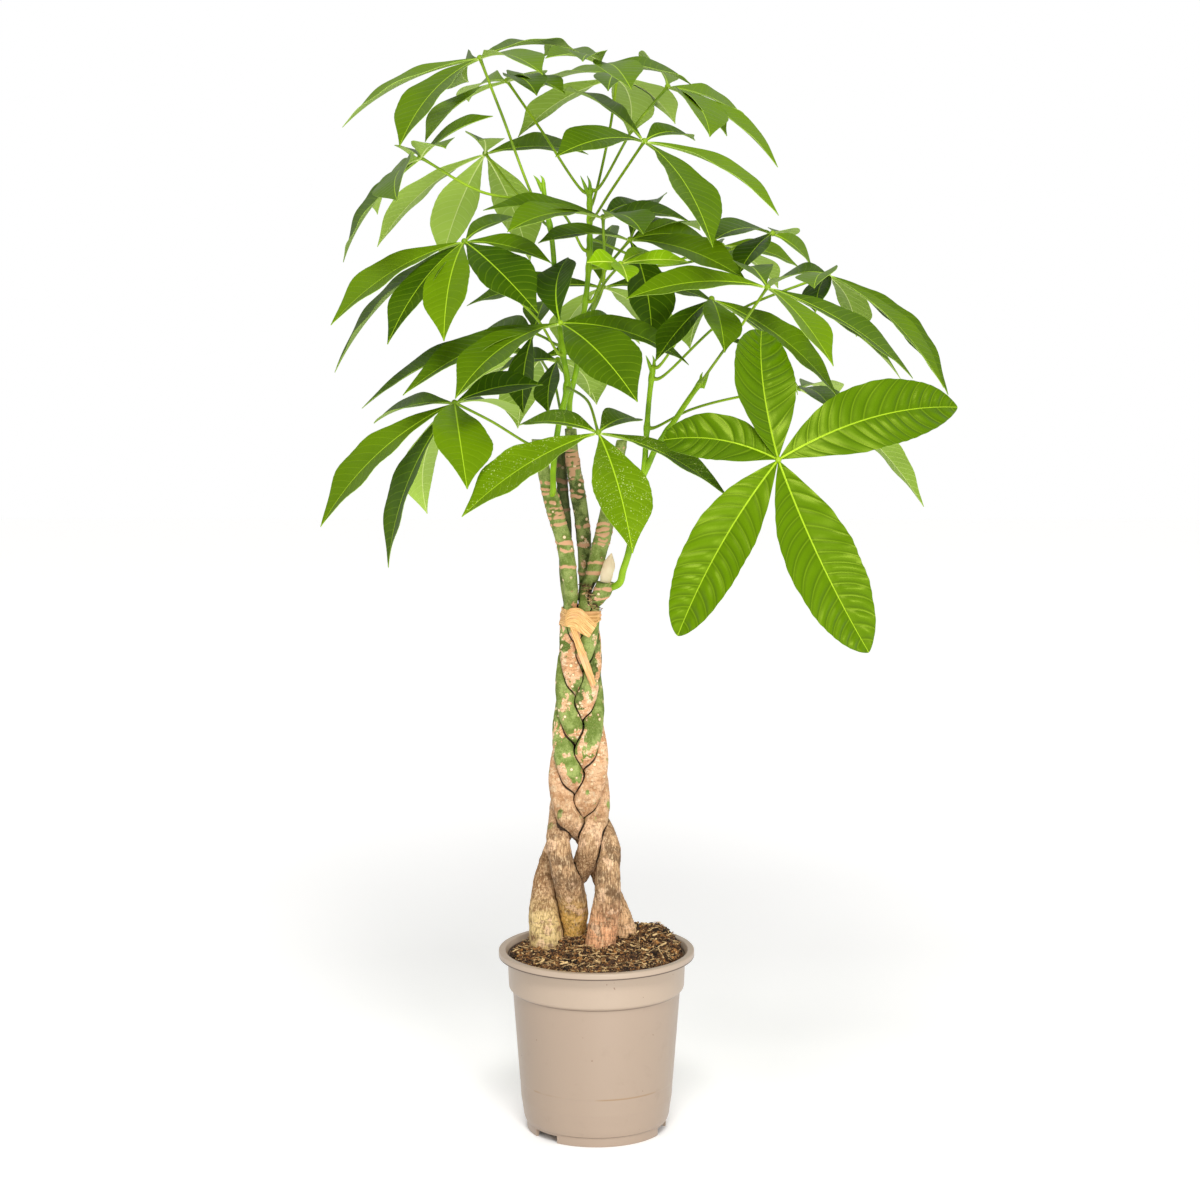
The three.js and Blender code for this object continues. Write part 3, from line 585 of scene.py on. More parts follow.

# %% [markdown]
# ## The soil
# Potting soil is a heap of dark crumbs with pale bits of straw. A smooth surface with a brown colour
# would look like chocolate, so it is made in three layers: an uneven ground, thousands of loose crumbs,
# and straws scattered over them. The ground comes first. Its finish has fine grains and pale fibres,
# which are partly painted glints, and the crumbs use the same finish in other browns.

# %% Soil ground
SOIL_EDGE = 191.5
SOIL_CROWN = 10
SOIL_RADIUS = 92
HEAP = {"x": 62, "y": 46, "height": 17, "spread": 24}
CLODS = [(3.0, 13, 1), (2.2, 5.5, 2), (1.3, 2.4, 3)]    # height, size across and seed
TOP_RADIUS = 93
TOP_RINGS = 78
SOIL_COLUMNS = 260
SOIL_WALL = [(91, 156), (87, 145), (79, 53), (72, 14), (44, 7.5)]    # [radius, height] under the top
SMOOTH_ALL_OVER = 180                  # degrees: no edge is sharp


def soil_height(x, y):
    """A low crown, edge + crown (1 - r^2), and a bell-shaped heap at the back right."""
    out = np.minimum(1, (x * x + y * y) / SOIL_RADIUS ** 2)
    away = ((x - HEAP["x"]) ** 2 + (y - HEAP["y"]) ** 2) / (2 * HEAP["spread"] ** 2)
    return SOIL_EDGE + SOIL_CROWN * (1 - out) + HEAP["height"] * np.exp(-away)


def soil_surface(x, y):
    """The soil's height with its clods and crumbs: three sizes of noise."""
    flat = np.stack([x, y, np.zeros_like(x)], -1)
    return soil_height(x, y) + sum(height * noise(flat, size, seed) for height, size, seed in CLODS)


def soil_skin():
    """A disc with a crumbly top: rings of growing radius, then down the pot's wall to its floor."""
    radius = np.concatenate([[0.01], np.linspace(1.2, TOP_RADIUS, TOP_RINGS)])[:, None]
    turn = round_turn(SOIL_COLUMNS)[None, :]
    x, y = radius * np.cos(turn), radius * np.sin(turn)
    top = np.stack([x, y, soil_surface(x, y)], -1)
    wall = [top[-1] * [r / TOP_RADIUS, r / TOP_RADIUS, 0] + [0, 0, z] for r, z in SOIL_WALL]
    return skin(np.concatenate([top, np.array(wall)]))


def soil_finish(name, dark, light, fibre_and_glint):
    """Damp peat and bark: two browns in fine grains, with paler fibres here and there, partly painted glints.
    """
    finish = Finish(name, 0.95)
    grain = finish.noise(380, detail=6, roughness=0.75).fade(0.42, 0.6)
    fibre = finish.noise(900, finish.stretched(1, 0.25, 1), detail=3).fade(0.6, 0.68)
    brown = finish.mix(grain, dark, light)
    # pale fibres, partly a painted glint
    finish.drive("Base Color", finish.mix(fibre * 0.8, brown, fibre_and_glint))
    finish.bump(finish.noise(700, detail=4, roughness=0.7), 0.8)
    return finish


ground_finish = soil_finish("soil", "#0c0603", "#6a4426", "#cc9e62")
ground = piece("potting_soil", [soil_skin()], [ground_finish], ["soil"], sharp=SMOOTH_ALL_OVER)
print("soil faces:", len(ground.data.polygons))

# %% [markdown]
# The crumbs are small uneven balls in three browns. They have few sides, since there are so many. Most
# are two to four millimetres across and a few are much larger, which is what a gamma draw gives.

# %% Crumbs
CRUMBS = 2600
SCATTER_RADIUS = 89
SOIL_SEED = 11


def lumps(places, sizes, draws, rows=5, around=6):
    """Small uneven balls: rings from pole to pole, each point moved in or out at random."""
    ball = round_ball(rows, around, 0.04)
    for place, size in zip(places, sizes):
        stretch = draws.uniform(0.6, 1.35, 3) * [1, 1, 0.8]
        yield place + size * stretch * ball * draws.uniform(0.72, 1.2, (rows, around, 1))


def scatter(count, draws):
    """Places spread evenly over the soil: the radius is the root of an even draw."""
    radius = SCATTER_RADIUS * np.sqrt(draws.random(count))
    turn = draws.random(count) * 2 * np.pi
    x, y = radius * np.cos(turn), radius * np.sin(turn)
    return np.stack([x, y, soil_surface(x, y)], -1)


soil_draws = np.random.default_rng(SOIL_SEED)
crumb_places = scatter(CRUMBS, soil_draws)
crumb_sizes = soil_draws.gamma(3, 0.38, CRUMBS) + 0.45
crumb_finishes = [soil_finish("dark crumbs", "#0a0502", "#40280f", "#a07440"),
                  soil_finish("brown crumbs", "#221307", "#84582c", "#e4bc80"),
                  soil_finish("rusty crumbs", "#402610", "#b88044", "#ffdca4")]
crumb_skins = [skin(ball, int(soil_draws.integers(0, len(crumb_finishes))))
               for ball in lumps(crumb_places, crumb_sizes, soil_draws)]
piece("soil_crumbs", crumb_skins, crumb_finishes, sharp=SMOOTH_ALL_OVER)
print("crumbs:", CRUMBS, "of about", round(2 * float(crumb_sizes.mean()), 1), "mm across")

# %% [markdown]
# The straws are thin splinters that lie nearly level. Each is a tube with five sides round a line that
# bends a little, and it is wider than it is thick, as a split stalk is.

# %% Straws
STRAWS = 900
STRAW_LIFT = [0, 0, 1.3]               # mm, so that a straw lies on the crumbs


def straws(places, draws):
    """Thin bent splinters: place + heading length s + bend (1/4 - s^2), for s from -1/2 to 1/2."""
    for place in places:
        turn = draws.random() * 2 * np.pi
        length = draws.gamma(2.2, 2.2) + 2.5
        heading = np.array([math.cos(turn), math.sin(turn), draws.normal(0, 0.22)])
        share = np.linspace(-0.5, 0.5, 5)[:, None]
        bend = np.array([-math.sin(turn), math.cos(turn), 0.4]) * draws.normal(0, 0.16) * length
        line = place + STRAW_LIFT + heading * length * share + bend * (0.25 - share ** 2)
        thick = draws.uniform(0.25, 0.75)
        yield tube(line, thick * draws.uniform(1, 1.8), thick * 0.6, 5)


straw_finish = Finish("straw", 0.8)
straw_shade = straw_finish.noise(160).fade(0.35, 0.6)
straw_finish.drive("Base Color", straw_finish.mix(straw_shade, "#6a4420", "#e2c088"))
straw_skins = [skin(line) for line in straws(scatter(STRAWS, soil_draws), soil_draws)]
piece("straw_bits", straw_skins, [straw_finish])
print("straws:", STRAWS)

# %% [markdown]
# ## The braided stems
# Five stems are plaited flat: seen from above they all follow one figure of eight, a fifth of the way
# apart, and each comes outwards in front and goes back inwards behind. In the real plant they have
# grown thick and pressed into each other. So each is a fat tube with an oval section that cuts a
# little into its neighbours, and the dark line between two stems is painted shade, drawn where they
# come close.

# %% Stem places
BRAID = {"y": 10, "low": 336, "high": 568, "pitch": 264, "phase_height": 319, "rows": 30}
BRAID_MIDDLES = [(336, -18.5), (488, -18.5), (568, -16.5)]
BRAID_HALF_WIDTHS = [(336, 33), (381, 32.6), (402, 31.3), (424, 29.3), (445, 27.6), (488, 25.2),
                     (531, 22.8), (568, 20)]
BRAID_WIDE = 0.392                     # a stem's half width, in halves of the braid's width
BRAID_DEEP = 0.33
BRAID_SWING = 0.37                     # how far a stem swings to the front and back, likewise
BRAID_LEAD = 2                         # degrees by which the swing runs ahead of the sideways turn
BRAID_SLANT = 0.03                     # how much more steeply a stem crosses the middle
BRAID_CREST = 0.3                      # how long it stays on top there

# Each row is [x, y, z, half width], then half the depth where the stem is flattened.
STEMS = {
    "stem_1": {"phase": 162, "below": [
        [-25, 30, 203, 12.5], [-24.5, 20, 232, 15.5, 14], [-29, 8, 262, 15, 13], [-35.5, -3, 284, 13.5, 12],
        [-39.5, -7, 304, 12.5, 11], [-41, -4, 320, 12.3, 11]],
        "above": [[-27, -7, 590, 7.6], [-29, -10, 606, 8.4], [-33, -13, 634, 8.5], [-40, -14, 658, 8.2],
                  [-47, -14, 682, 8.5], [-52, -13, 701, 7], [-62, -10, 745, 5.8]]},
    "stem_2": {"phase": 234, "below": [
        [-54, 14, 204, 18.5], [-57, 17, 232, 16, 14.5], [-56, 24, 258, 13, 11.5], [-50, 29, 284, 12, 10.5],
        [-43, 30, 304, 11.5, 10.5], [-35, 28, 320, 11.5, 10.5]],
        "above": [[-32, 17, 590, 6.4], [-33, 18, 620, 6.3], [-33, 20, 655, 6.3], [-36, 21, 690, 6],
                  [-38, 22, 729, 5.8]]},
    "stem_3": {"phase": 90, "below": [
        [31, 30, 202, 13], [27, 31, 216, 13], [20, 31, 236, 12.5], [12, 32, 256, 12, 11],
        [3, 29, 280, 12, 10.5], [-5, 22, 303, 12, 10.5], [-14, 12, 320, 12, 10.5]],
        "above": [[-12, 22, 590, 6.4], [-12.5, 21, 608, 6.8], [-13, 19, 630, 7.6], [-15, 15, 655, 7.8],
                  [-20, 9, 690, 7.8], [-25, 6, 722, 7], [-27, 4, 755, 6.2]]},
    "stem_4": {"phase": 306, "below": [
        [-36, 54, 203, 12.5], [-36, 48, 234, 12.5], [-29, 36, 257, 12, 11], [-19, 19, 276, 12, 11],
        [-12, 5, 291, 12.5, 11], [-8.5, -4, 304, 12.5, 11], [-6, -6, 320, 12.5, 11]],
        "above": [[-11, 8, 583, 6.4], [-5, 4, 598, 7], [2.5, 2, 626, 8.8], [7.5, 1, 645, 8.8],
                  [11, 0, 664, 8], [27, -3, 744, 5.8]]},
    "stem_5": {"phase": 18, "below": [
        [4, -5, 200, 16.5], [8, -7, 229, 15.5, 14], [11.5, -9, 252, 14.5, 13], [12.5, -9, 284, 13, 12],
        [14, -5, 304, 11.8, 11], [9.5, 2, 320, 11.8, 11]],
        "above": [[1, -4, 577, 7.6], [7.5, -6.5, 587, 9.4], [9.5, -7, 594, 9.2]]},
}
BURIED = 150                           # where a stem's foot ends in the soil
STEM_STEP = 1.4                        # mm between rings
STEM_SIDES = 84
FLATNESS = 2.35                        # 2 is a plain oval, and above it the sides are flatter
print("places given by hand:", sum(len(stem["below"]) + len(stem["above"]) for stem in STEMS.values()))


# %% Stem lines
def braid_rows(phase):
    """x = reach (cos a - slant cos 3a) and y = swing (sin 2b - crest sin 4b), where b = a + lead: a figure
    of eight. The angle a grows with the height, by a full turn in each pitch. The second terms let each
    stem cross the middle in a nearly straight line, and keep it on top there."""
    z = np.linspace(BRAID["low"], BRAID["high"], BRAID["rows"])
    half = np.interp(z, *zip(*BRAID_HALF_WIDTHS))
    angle = np.radians(phase + 360 * (z - BRAID["phase_height"]) / BRAID["pitch"])
    ahead = angle + math.radians(BRAID_LEAD)
    sideways = (np.cos(angle) - BRAID_SLANT * np.cos(3 * angle)) / (1 - BRAID_SLANT)
    x = np.interp(z, *zip(*BRAID_MIDDLES)) + half * (1 - BRAID_WIDE) * sideways
    y = BRAID["y"] + half * BRAID_SWING * (np.sin(2 * ahead) - BRAID_CREST * np.sin(4 * ahead))
    return np.stack([x, y, z, half * BRAID_WIDE, half * BRAID_DEEP], 1)


def stem_line(phase, below, above):
    """A smooth line of [x, y, z, half width, half depth] rows, every STEM_STEP mm. A given row without a
    half depth is round."""
    rows = [[*row, row[3]][:5] for row in below]
    top = [[*row, row[3]][:5] for row in above]
    buried = [*rows[0][:2], BURIED, *rows[0][3:]]
    path = np.concatenate([[buried], rows, braid_rows(phase), top])
    return spread(path, int((path[-1, 2] - path[0, 2]) / STEM_STEP))


def on_line(line, z):
    """The [x, y, z, half width, half depth] of a stem or shoot at one height, or at many."""
    return np.array([np.interp(z, line[:, 2], line[:, i]) for i in range(5)])


lines = {name: stem_line(**stem) for name, stem in STEMS.items()}
print("stem rings:", {name: len(line) for name, line in lines.items()})

# %% [markdown]
# Where two stems meet there is a dark crease, full of shadow. Left to the light alone it would
# be pale, since these stems cut into each other and leave no gap. So each point of a stem is measured
# against the four other stems: the nearer it is to one, the more shade is painted on it, and the
# deeper it lies.

# %% Where stems meet
CREASE = 1.3                           # mm from the next stem at which the painted shade and the groove begin
OVERHANG = [0, 2.5, 5, 7.5]            # mm outwards from the bark at which the next stem is looked for
OPEN_FEET = (300, 345)                 # the heights below which the stems part, and overhang nothing
FLAT_BRAID = 0.4                       # the braid's depth over its width


def rounding(across, deep):
    """How far out a flattened oval reaches: 1 on its outline, from places scaled by its half sizes."""
    return (np.abs(across) ** FLATNESS + np.abs(deep) ** FLATNESS) ** (1 / FLATNESS)


def nearness(points, line):
    """How close each point is to another stem: 1 on or in its skin, and 0 from CREASE off. The step from
    that stem's middle is measured square to it, on the scale of its outline."""
    along, side, back = frames(line)
    ring = np.rint(np.interp(points[..., 2], line[:, 2], np.arange(len(line)))).astype(int)
    step = points - line[ring, :3]
    across, deep = (step * side[ring]).sum(-1), (step * back[ring]).sum(-1)
    size = rounding(across / line[ring, 3], deep / line[ring, 4]) + 1e-6
    off = (size - 1) * np.hypot(across, deep) / size
    beside = (points[..., 2] > line[0, 2]) & (points[..., 2] < line[-1, 2])
    return np.where(beside, 1 - np.clip(off / CREASE, 0, 1), 0)


def creases(points, others):
    """The lines of painted shade where stems meet. Shade also falls where the next stem overhangs the bark,
    so each point is tried again at a few steps outwards from the middle of the braid."""
    middle_x = np.interp(points[..., 2], *zip(*BRAID_MIDDLES))
    x, y = FLAT_BRAID * (points[..., 0] - middle_x), points[..., 1] - BRAID["y"]
    outwards = unit(np.stack([x, y, np.zeros_like(x)], -1))
    outwards = outwards * blend(points[..., 2:], *OPEN_FEET)
    tries = [nearness(points + step * outwards, line) for step in OVERHANG for line in others]
    return np.max(tries, axis=0)


corner = math.sqrt(0.5)
print("a stem's flattened corner, against an oval's:", round(1 / rounding(corner, corner), 3))

# %% [markdown]
# The bark changes on the way up. At the foot it is old, brown and rough, in the braid it is smooth, and
# above the tie it has broken rings where leaves have fallen off. This relief is in the mesh, so that it
# also shows at the outline: low lumps, fine grains, ridges along the stem, cracks across it, and the
# rings.

# %% Bark relief
GROOVE = 0.9                           # mm that the bark falls in at a crease
OLD_BARK = (270, 345)                  # the heights between which the old bark gives way to the smooth
BARK_RELIEF = [                        # size, squeeze, height in mm, more of it in old bark, and seed
    (19, (1, 1, 1), 0.45, 0, 4),
    (7, (1, 1, 1), 0.35, 0, 5),
    (2.8, (1, 1, 0.3), 0.15, 0.5, 6),
    (1.9, (1, 1, 1), 0, 0.2, 7),
    (1.7, (0.3, 0.3, 1), 0.12, 0.2, 12),
]
SCAR_HEIGHT = 0.8
SCARS = {                              # the heights of the rings
    "stem_1": [612, 630, 637, 657, 664, 669, 675, 681, 688, 694, 701, 720],
    "stem_2": [640, 668, 690, 699, 716],
    "stem_3": [602, 632, 652, 683, 689, 701, 706, 710, 714, 719, 723, 727, 732, 744],
    "stem_4": [604, 615, 634, 639, 645, 650, 655, 690, 706, 721, 735],
    "stem_5": [578, 588],
}


def flattened(rings, line):
    """Pushes an oval ring outwards between its ends, so that its sides are flatter."""
    turn = round_turn(rings.shape[1])
    middle = line[:, None, :3]
    return middle + (rings - middle) / rounding(np.cos(turn), np.sin(turn))[None, :, None]


def scar_rings(rings, heights):
    """1 on a leaf scar and 0 beside it, exp(-d^2 / 2.2): the rings are wavy, and broken by noise."""
    wavy = rings[..., 2] + 2.2 * noise(rings, 8, 8)
    ring = np.exp(-np.min(np.abs(wavy[..., None] - np.array(heights)), axis=-1) ** 2 / 2.2)
    return ring * blend(noise(rings * [1, 1, 0.5], 5, 9), -0.6, 0.0)


def bark_relief(rings):
    """The sum of the rows of BARK_RELIEF, in mm: noise of each size, higher in the old bark."""
    old = 1 - blend(rings[..., 2], *OLD_BARK)
    return sum((height + more * old) * noise(rings * squeeze, size, seed)
               for size, squeeze, height, more, seed in BARK_RELIEF)


def stem_skin(name, line):
    """The stem's flattened tube, each point moved out by its relief, and in at the creases."""
    rings = flattened(tube(line[:, :3], line[:, 3], line[:, 4], STEM_SIDES), line)
    scars = scar_rings(rings, SCARS[name])
    relief = bark_relief(rings) + SCAR_HEIGHT * scars
    out = unit(rings - line[:, None, :3])
    fade = np.clip((line[-1, 2] - rings[..., 2]) / 3, 0, 1)
    near = creases(rings, [other for key, other in lines.items() if key != name])
    bulge = rings + out * (relief * fade - GROOVE * near)[..., None]
    bulge[-1, :, 2] = line[-1, 2] + 0.4 * noise(bulge[-1], 4, 10)
    return skin(bulge, crease=near, scar=scars)


print("leaf scars:", {name: len(heights) for name, heights in SCARS.items()})

# %% [markdown]
# The colours are three barks laid over each other: the rough brown one at the foot, the pinkish tan one
# of the braid, and the green one, which shows through in patches and takes over near the top. Every
# stem has its own shade at the foot, its own green, and a height at which its patches are largest. All
# of it comes from noise that is read at each place, with the height as a second guide.


# %% Three barks
# From and to which height, in metres, and how much greener the bark becomes.
GREENER = [(0.36, 0.5, 0.1), (0.5, 0.62, 0.16)]
GREEN_FROM = (0.31, 0.36)


def old_bark(finish, foot, old, high, blotch, wrinkle):
    """Rough brown bark with pale flakes, dark streaks along it, and its own shade at the very foot."""
    streak = finish.noise(560, finish.stretched(1, 1, 0.22), detail=6, roughness=0.72)
    rough = finish.mix(blotch.fade(0.42, 0.62), old, "#b8926a")
    rough = finish.mix(high.fade(0.26, 0.22) * blotch.fade(0.3, 0.5), rough, foot)
    rough = finish.mix(finish.noise(48, detail=3).fade(0.57, 0.61) * 0.65, rough, "#ebc29c")
    rough = finish.mix(wrinkle.fade(0.46, 0.38) * 0.5, rough, "#6a4c30")
    rough = finish.mix(streak.fade(0.5, 0.41) * 0.65, rough, "#5a4128")
    return finish.mix(streak.fade(0.53, 0.62) * 0.6, rough, "#ecd0a4")


def tan_bark(finish, blotch, wrinkle, speck):
    """Smooth pinkish tan bark with paler blotches, and fine darker wrinkles and specks."""
    tan = finish.mix(blotch.fade(0.36, 0.64), "#d69e70", "#ecc098")
    tan = finish.mix(finish.noise(160, detail=4, roughness=0.65).fade(0.52, 0.6) * 0.8, tan, "#f4d9b4")
    tan = finish.mix(wrinkle.fade(0.46, 0.38) * 0.55, tan, "#a8754c")
    return finish.mix(speck.fade(0.44, 0.4) * 0.6, tan, "#7c5434")


def green_bark(finish, green, blotch, speck):
    """Green bark with darker and lighter specks."""
    young = finish.mix(blotch.fade(0.4, 0.62), green, "#98a65c")
    young = finish.mix(speck.fade(0.48, 0.4) * 0.4, young, "#435020")
    return finish.mix(speck.fade(0.56, 0.64) * 0.4, young, "#c4c486")


def green_share(finish, high, spread_green, greenest):
    """1 where the bark is green: ragged noise above a level, which sinks as the height grows and about
    the `greenest` height, so that the patches grow."""
    ragged = finish.noise(62, finish.stretched(1, 1, 0.7), detail=5, roughness=0.6)
    low, top = [high.fade(start, end) * more for start, end, more in GREENER]
    patch = abs(high - greenest).fade(0.055, 0.01) * 0.08
    return (ragged + (low + top) + patch + spread_green).fade(0.59, 0.6) * high.fade(*GREEN_FROM)


def dotted(finish, colour, high):
    """Small pale dots with a brown rim, in loose groups on the smooth bark."""
    cells = {"Vector": finish.place(), "Scale": 125.0, "Randomness": 1.0}
    dot = finish.node("ShaderNodeTexVoronoi", {}, cells, "Distance")
    on_skin = high.fade(0.36, 0.4) * finish.noise(40).fade(0.44, 0.52)
    colour = finish.mix(dot.fade(0.3, 0.25) * on_skin * 0.6, colour, "#8b6038")
    return finish.mix(dot.fade(0.23, 0.18) * on_skin, colour, "#f2dcb2")


print("bark grows green from", GREEN_FROM[0], "to", GREENER[-1][1], "m up")


# %% Bark finish
def bark_finish(name, foot, old, green, spread_green, greenest, gloom=0):
    """Bark from foot to top: rough and brown, then pinkish tan with green patches, then green. The
    patches are largest about the `greenest` height, in metres, and `gloom` darkens the top of a stem at
    the back, which stands in the shade of the others."""
    finish = Finish(name, 0.75, Specular_IOR_Level=0.25)
    high = finish.height()
    speck = finish.noise(640, detail=5, roughness=0.75)
    blotch = finish.noise(75, detail=4, roughness=0.6)
    wrinkle = finish.noise(330, finish.stretched(0.3, 0.3, 1.4), detail=4, roughness=0.65)
    rough = old_bark(finish, foot, old, high, blotch, wrinkle)
    tan = tan_bark(finish, blotch, wrinkle, speck)
    colour = finish.mix(high.fade(0.3, 0.36) * 0.35 + high.fade(0.34, 0.43) * 0.65, rough, tan)
    young = green_bark(finish, green, blotch, speck)
    colour = finish.mix(green_share(finish, high, spread_green, greenest), colour, young)
    colour = dotted(finish, colour, high)
    colour = finish.mix(finish.mark("scar").fade(0.2, 0.5) * 0.9, colour, "#e0a884")
    colour = finish.mix(high.fade(0.585, 0.64) * gloom, colour, "#161c08")
    # painted shade in the creases where the stems meet
    colour = finish.mix(finish.mark("crease").fade(0.2, 0.8) * 0.92, colour, "#1c1008")
    finish.drive("Base Color", colour)
    finish.bump(speck + wrinkle, 0.5, 0.8)
    return finish


BARKS = {
    "stem_1": bark_finish("bark of stem 1", "#e8ba60", "#86694c", "#6c8034", 0.0, 0.45),
    "stem_2": bark_finish("bark of stem 2", "#d9bd80", "#946f4a", "#5c6e2c", -0.06, 0.56, gloom=0.75),
    "stem_3": bark_finish("bark of stem 3", "#dcae80", "#846443", "#4a5a20", -0.04, 0.51, gloom=0.3),
    "stem_4": bark_finish("bark of stem 4", "#a5825a", "#967350", "#708236", 0.02, 0.475),
    "stem_5": bark_finish("bark of stem 5", "#e4a678", "#7a5e42", "#6c8034", 0.0, 0.395),
}
for name, line in lines.items():
    made = piece(f"bark_{name}", [stem_skin(name, line)], [BARKS[name]], [name], sharp=60)
    print(made.name, "faces:", len(made.data.polygons))

# %% [markdown]
# ## The tie
# A strip of raffia is drawn tight round the five stems. Its path is found as a string would find it:
# in each direction it touches the stem that stands out the furthest.

# %% Raffia band
TIE_LOW, TIE_HIGH = 546, 565
TIE_COLUMNS = 72
TIE_LENGTH = 170                       # mm once round, for the grain
TIE_CLEAR = 0.4                        # mm from the bark


def string_round(stems, z, clear):
    """A closed line round the stems at one height. In each direction it lies at the greatest reach of any
    stem, r, and there it is r (cos a, sin a) + r' (-sin a, cos a), where r' is the slope of r."""
    turn = round_turn(TIE_COLUMNS)
    reach = np.full(TIE_COLUMNS, -np.inf)
    for line in stems:
        x, y, _, wide, deep = on_line(line, z)
        oval = np.hypot(np.cos(turn) * wide, np.sin(turn) * deep)
        reach = np.maximum(reach, np.cos(turn) * x + np.sin(turn) * y + oval + clear)
    slope = (np.roll(reach, -1) - np.roll(reach, 1)) / (turn[2] - turn[0])
    x = reach * np.cos(turn) - slope * np.sin(turn)
    y = reach * np.sin(turn) + slope * np.cos(turn)
    return np.stack([x, y], -1)


def band_skin():
    """A thin strip round the stems, with pleats of up to 0.9 mm. It is drawn in to a narrow cord at the
    right (turn 0), and full at the left."""
    share = np.linspace(0, 1, 13)[:, None]
    turn = round_turn(TIE_COLUMNS)[None, :]
    drawn_in = (0.5 + 0.5 * np.cos(turn)) ** 1.5
    low, high = TIE_LOW + 6 * drawn_in, TIE_HIGH - 4.5 * drawn_in
    z = low + (high - low) * share
    loops = np.array([string_round(lines.values(), level, TIE_CLEAR) for level in z.mean(1)])
    out = unit(loops - loops.mean((0, 1)))
    pleat = 0.5 + 0.5 * np.sin(share * 13 + 1.2 * np.sin(3 * turn))
    outer = np.dstack([loops + out * (0.4 + 0.9 * pleat + 0.3 * drawn_in)[..., None], z])
    inner = np.dstack([loops, z])
    rings = np.concatenate([outer, inner[::-1]]).transpose(1, 0, 2)
    run = np.linspace(0, TIE_LENGTH, TIE_COLUMNS + 1)[:, None]
    return skin(np.concatenate([rings, rings[:1]]), grain=rings[:1, :, 2], turn=run)


print("once round the stems:", len(string_round(lines.values(), TIE_LOW, TIE_CLEAR)), "points")

# %% [markdown]
# A folded end of the strip lies over the front as a flap, and the tail hangs down from under it. Both
# are flat strips between two edges that were read off the photograph. How far forward they lie comes
# from the stems behind them, because a stiff strip rests on what stands out and bridges the rest.

# %% Flap and tail
# The upper and the lower edge of each, as [x, z].
FLAP = [[[-32, 563], [-27, 567], [-16.5, 566.5], [-7, 557], [1, 549.5]],
        [[-34.5, 550], [-31, 547.5], [-26, 546], [-17, 540.5], [-7.6, 535.5]]]
TAIL = [[[-22, 547.5], [-13, 524], [-5.5, 503], [-0.5, 486]],
        [[-28, 546], [-21, 523.5], [-13, 501], [-6, 483.5]]]
FLAP_CLEAR = 2.6                       # mm in front of the stems: the band lies between
TAIL_CLEAR = 1.7


def stem_fronts(x, z):
    """The y of the stems' front at each place: the oval that stands out the furthest, or 0 beside them."""
    fronts = np.zeros(x.shape)
    for line in lines.values():
        middle, y, _, wide, deep = on_line(line, z)
        inside = 1 - ((x - middle) / wide) ** 2
        oval = np.where(inside > 0, y - deep * np.sqrt(np.abs(inside)), 0)
        fronts = np.minimum(fronts, oval)
    return fronts


def strip_skin(upper, lower, clear, thick=0.8, rows=26, columns=9, stiff=7):
    """A flat strip between two edges: straight across from one to the other, with a shallow dent along it
    and a slow wave. It lies `clear` mm in front of the stems. Each row takes the foremost place of its
    `stiff` neighbours, and then their mean."""
    upper, lower = [spread([[x, 0, z] for x, z in edge], rows) for edge in (upper, lower)]
    share = np.linspace(0, 1, columns)[None, :]
    face = upper[:, None] + (lower - upper)[:, None] * share[..., None]
    fronts = np.pad(stem_fronts(face[..., 0], face[..., 2]).min(1), stiff - 1, "edge")
    foremost = np.lib.stride_tricks.sliding_window_view(fronts, stiff).min(1)
    face[..., 1] = np.convolve(foremost, np.full(stiff, 1 / stiff), "valid")[:, None] - clear
    run = np.linspace(0, 1, rows)[:, None]
    dent = 0.7 * np.sin(np.pi * share) * np.sin(np.pi * run) + 0.35 * np.sin(5 * run + 4 * share)
    face[..., 1] -= dent + 0.9 * np.sin(np.pi * run)
    back = face[:, ::-1] + [0, thick, 0]
    width = np.linalg.norm(upper - lower, axis=1)[:, None]
    length = np.concatenate([[0], np.cumsum(np.linalg.norm(np.diff(upper, axis=0), axis=1))])[:, None]
    grain = np.concatenate([share, share[:, ::-1]], 1) * width
    return skin(np.concatenate([face, back], 1), grain=grain, turn=length)


print("the tail hangs down to", TAIL[1][-1][1], "mm")

# %% [markdown]
# Raffia is a split leaf, so it has a straight grain along it. The grain is noise that is read at two
# marks instead of a place: how far across the strip a point lies, and, much more slowly, how far along.

# %% Raffia tie
GRAIN_ACROSS = 1.8                     # how quickly the grain changes for each mm
GRAIN_ALONG = 0.04


def raffia_finish():
    """Tan fibre: fine light and dark lines along the strip, and a pinkish cast here and there."""
    finish = Finish("raffia", 0.6)
    across, along = finish.mark("grain") * GRAIN_ACROSS, finish.mark("turn") * GRAIN_ALONG
    where = finish.node("ShaderNodeCombineXYZ", {}, {"X": across, "Y": along})
    line = finish.noise(1.0, where, detail=5, roughness=0.75)
    colour = finish.mix(line.fade(0.42, 0.58), "#c6883e", "#ffd08a")
    colour = finish.mix(line.fade(0.42, 0.36) * 0.85, colour, "#8a5624")
    colour = finish.mix(finish.noise(45).fade(0.5, 0.66) * 0.5, colour, "#f2b48c")
    finish.drive("Base Color", colour)
    finish.bump(line, 0.5, 0.9)
    return finish


tie_skins = [band_skin(), strip_skin(*FLAP, FLAP_CLEAR), strip_skin(*TAIL, TAIL_CLEAR)]
tie = piece("raffia_tie", tie_skins, [raffia_finish()], ["tie"], sharp=50)
print("tie faces:", len(tie.data.polygons))

# %% [markdown]
# A tuft of dry roots and fibres sticks out between the stems just above the tie. It is made of the same
# splinters as the straw on the soil, in straw colour and in dark brown by turns.

# %% Dry fibres
FIBRES = 70
TUFT_TOP, TUFT_FOOT = [-13, -8, 590], [1, -9, 566]
TUFT_SPREAD = [2.2, 2, 2.5]
TUFT_SEED = 5

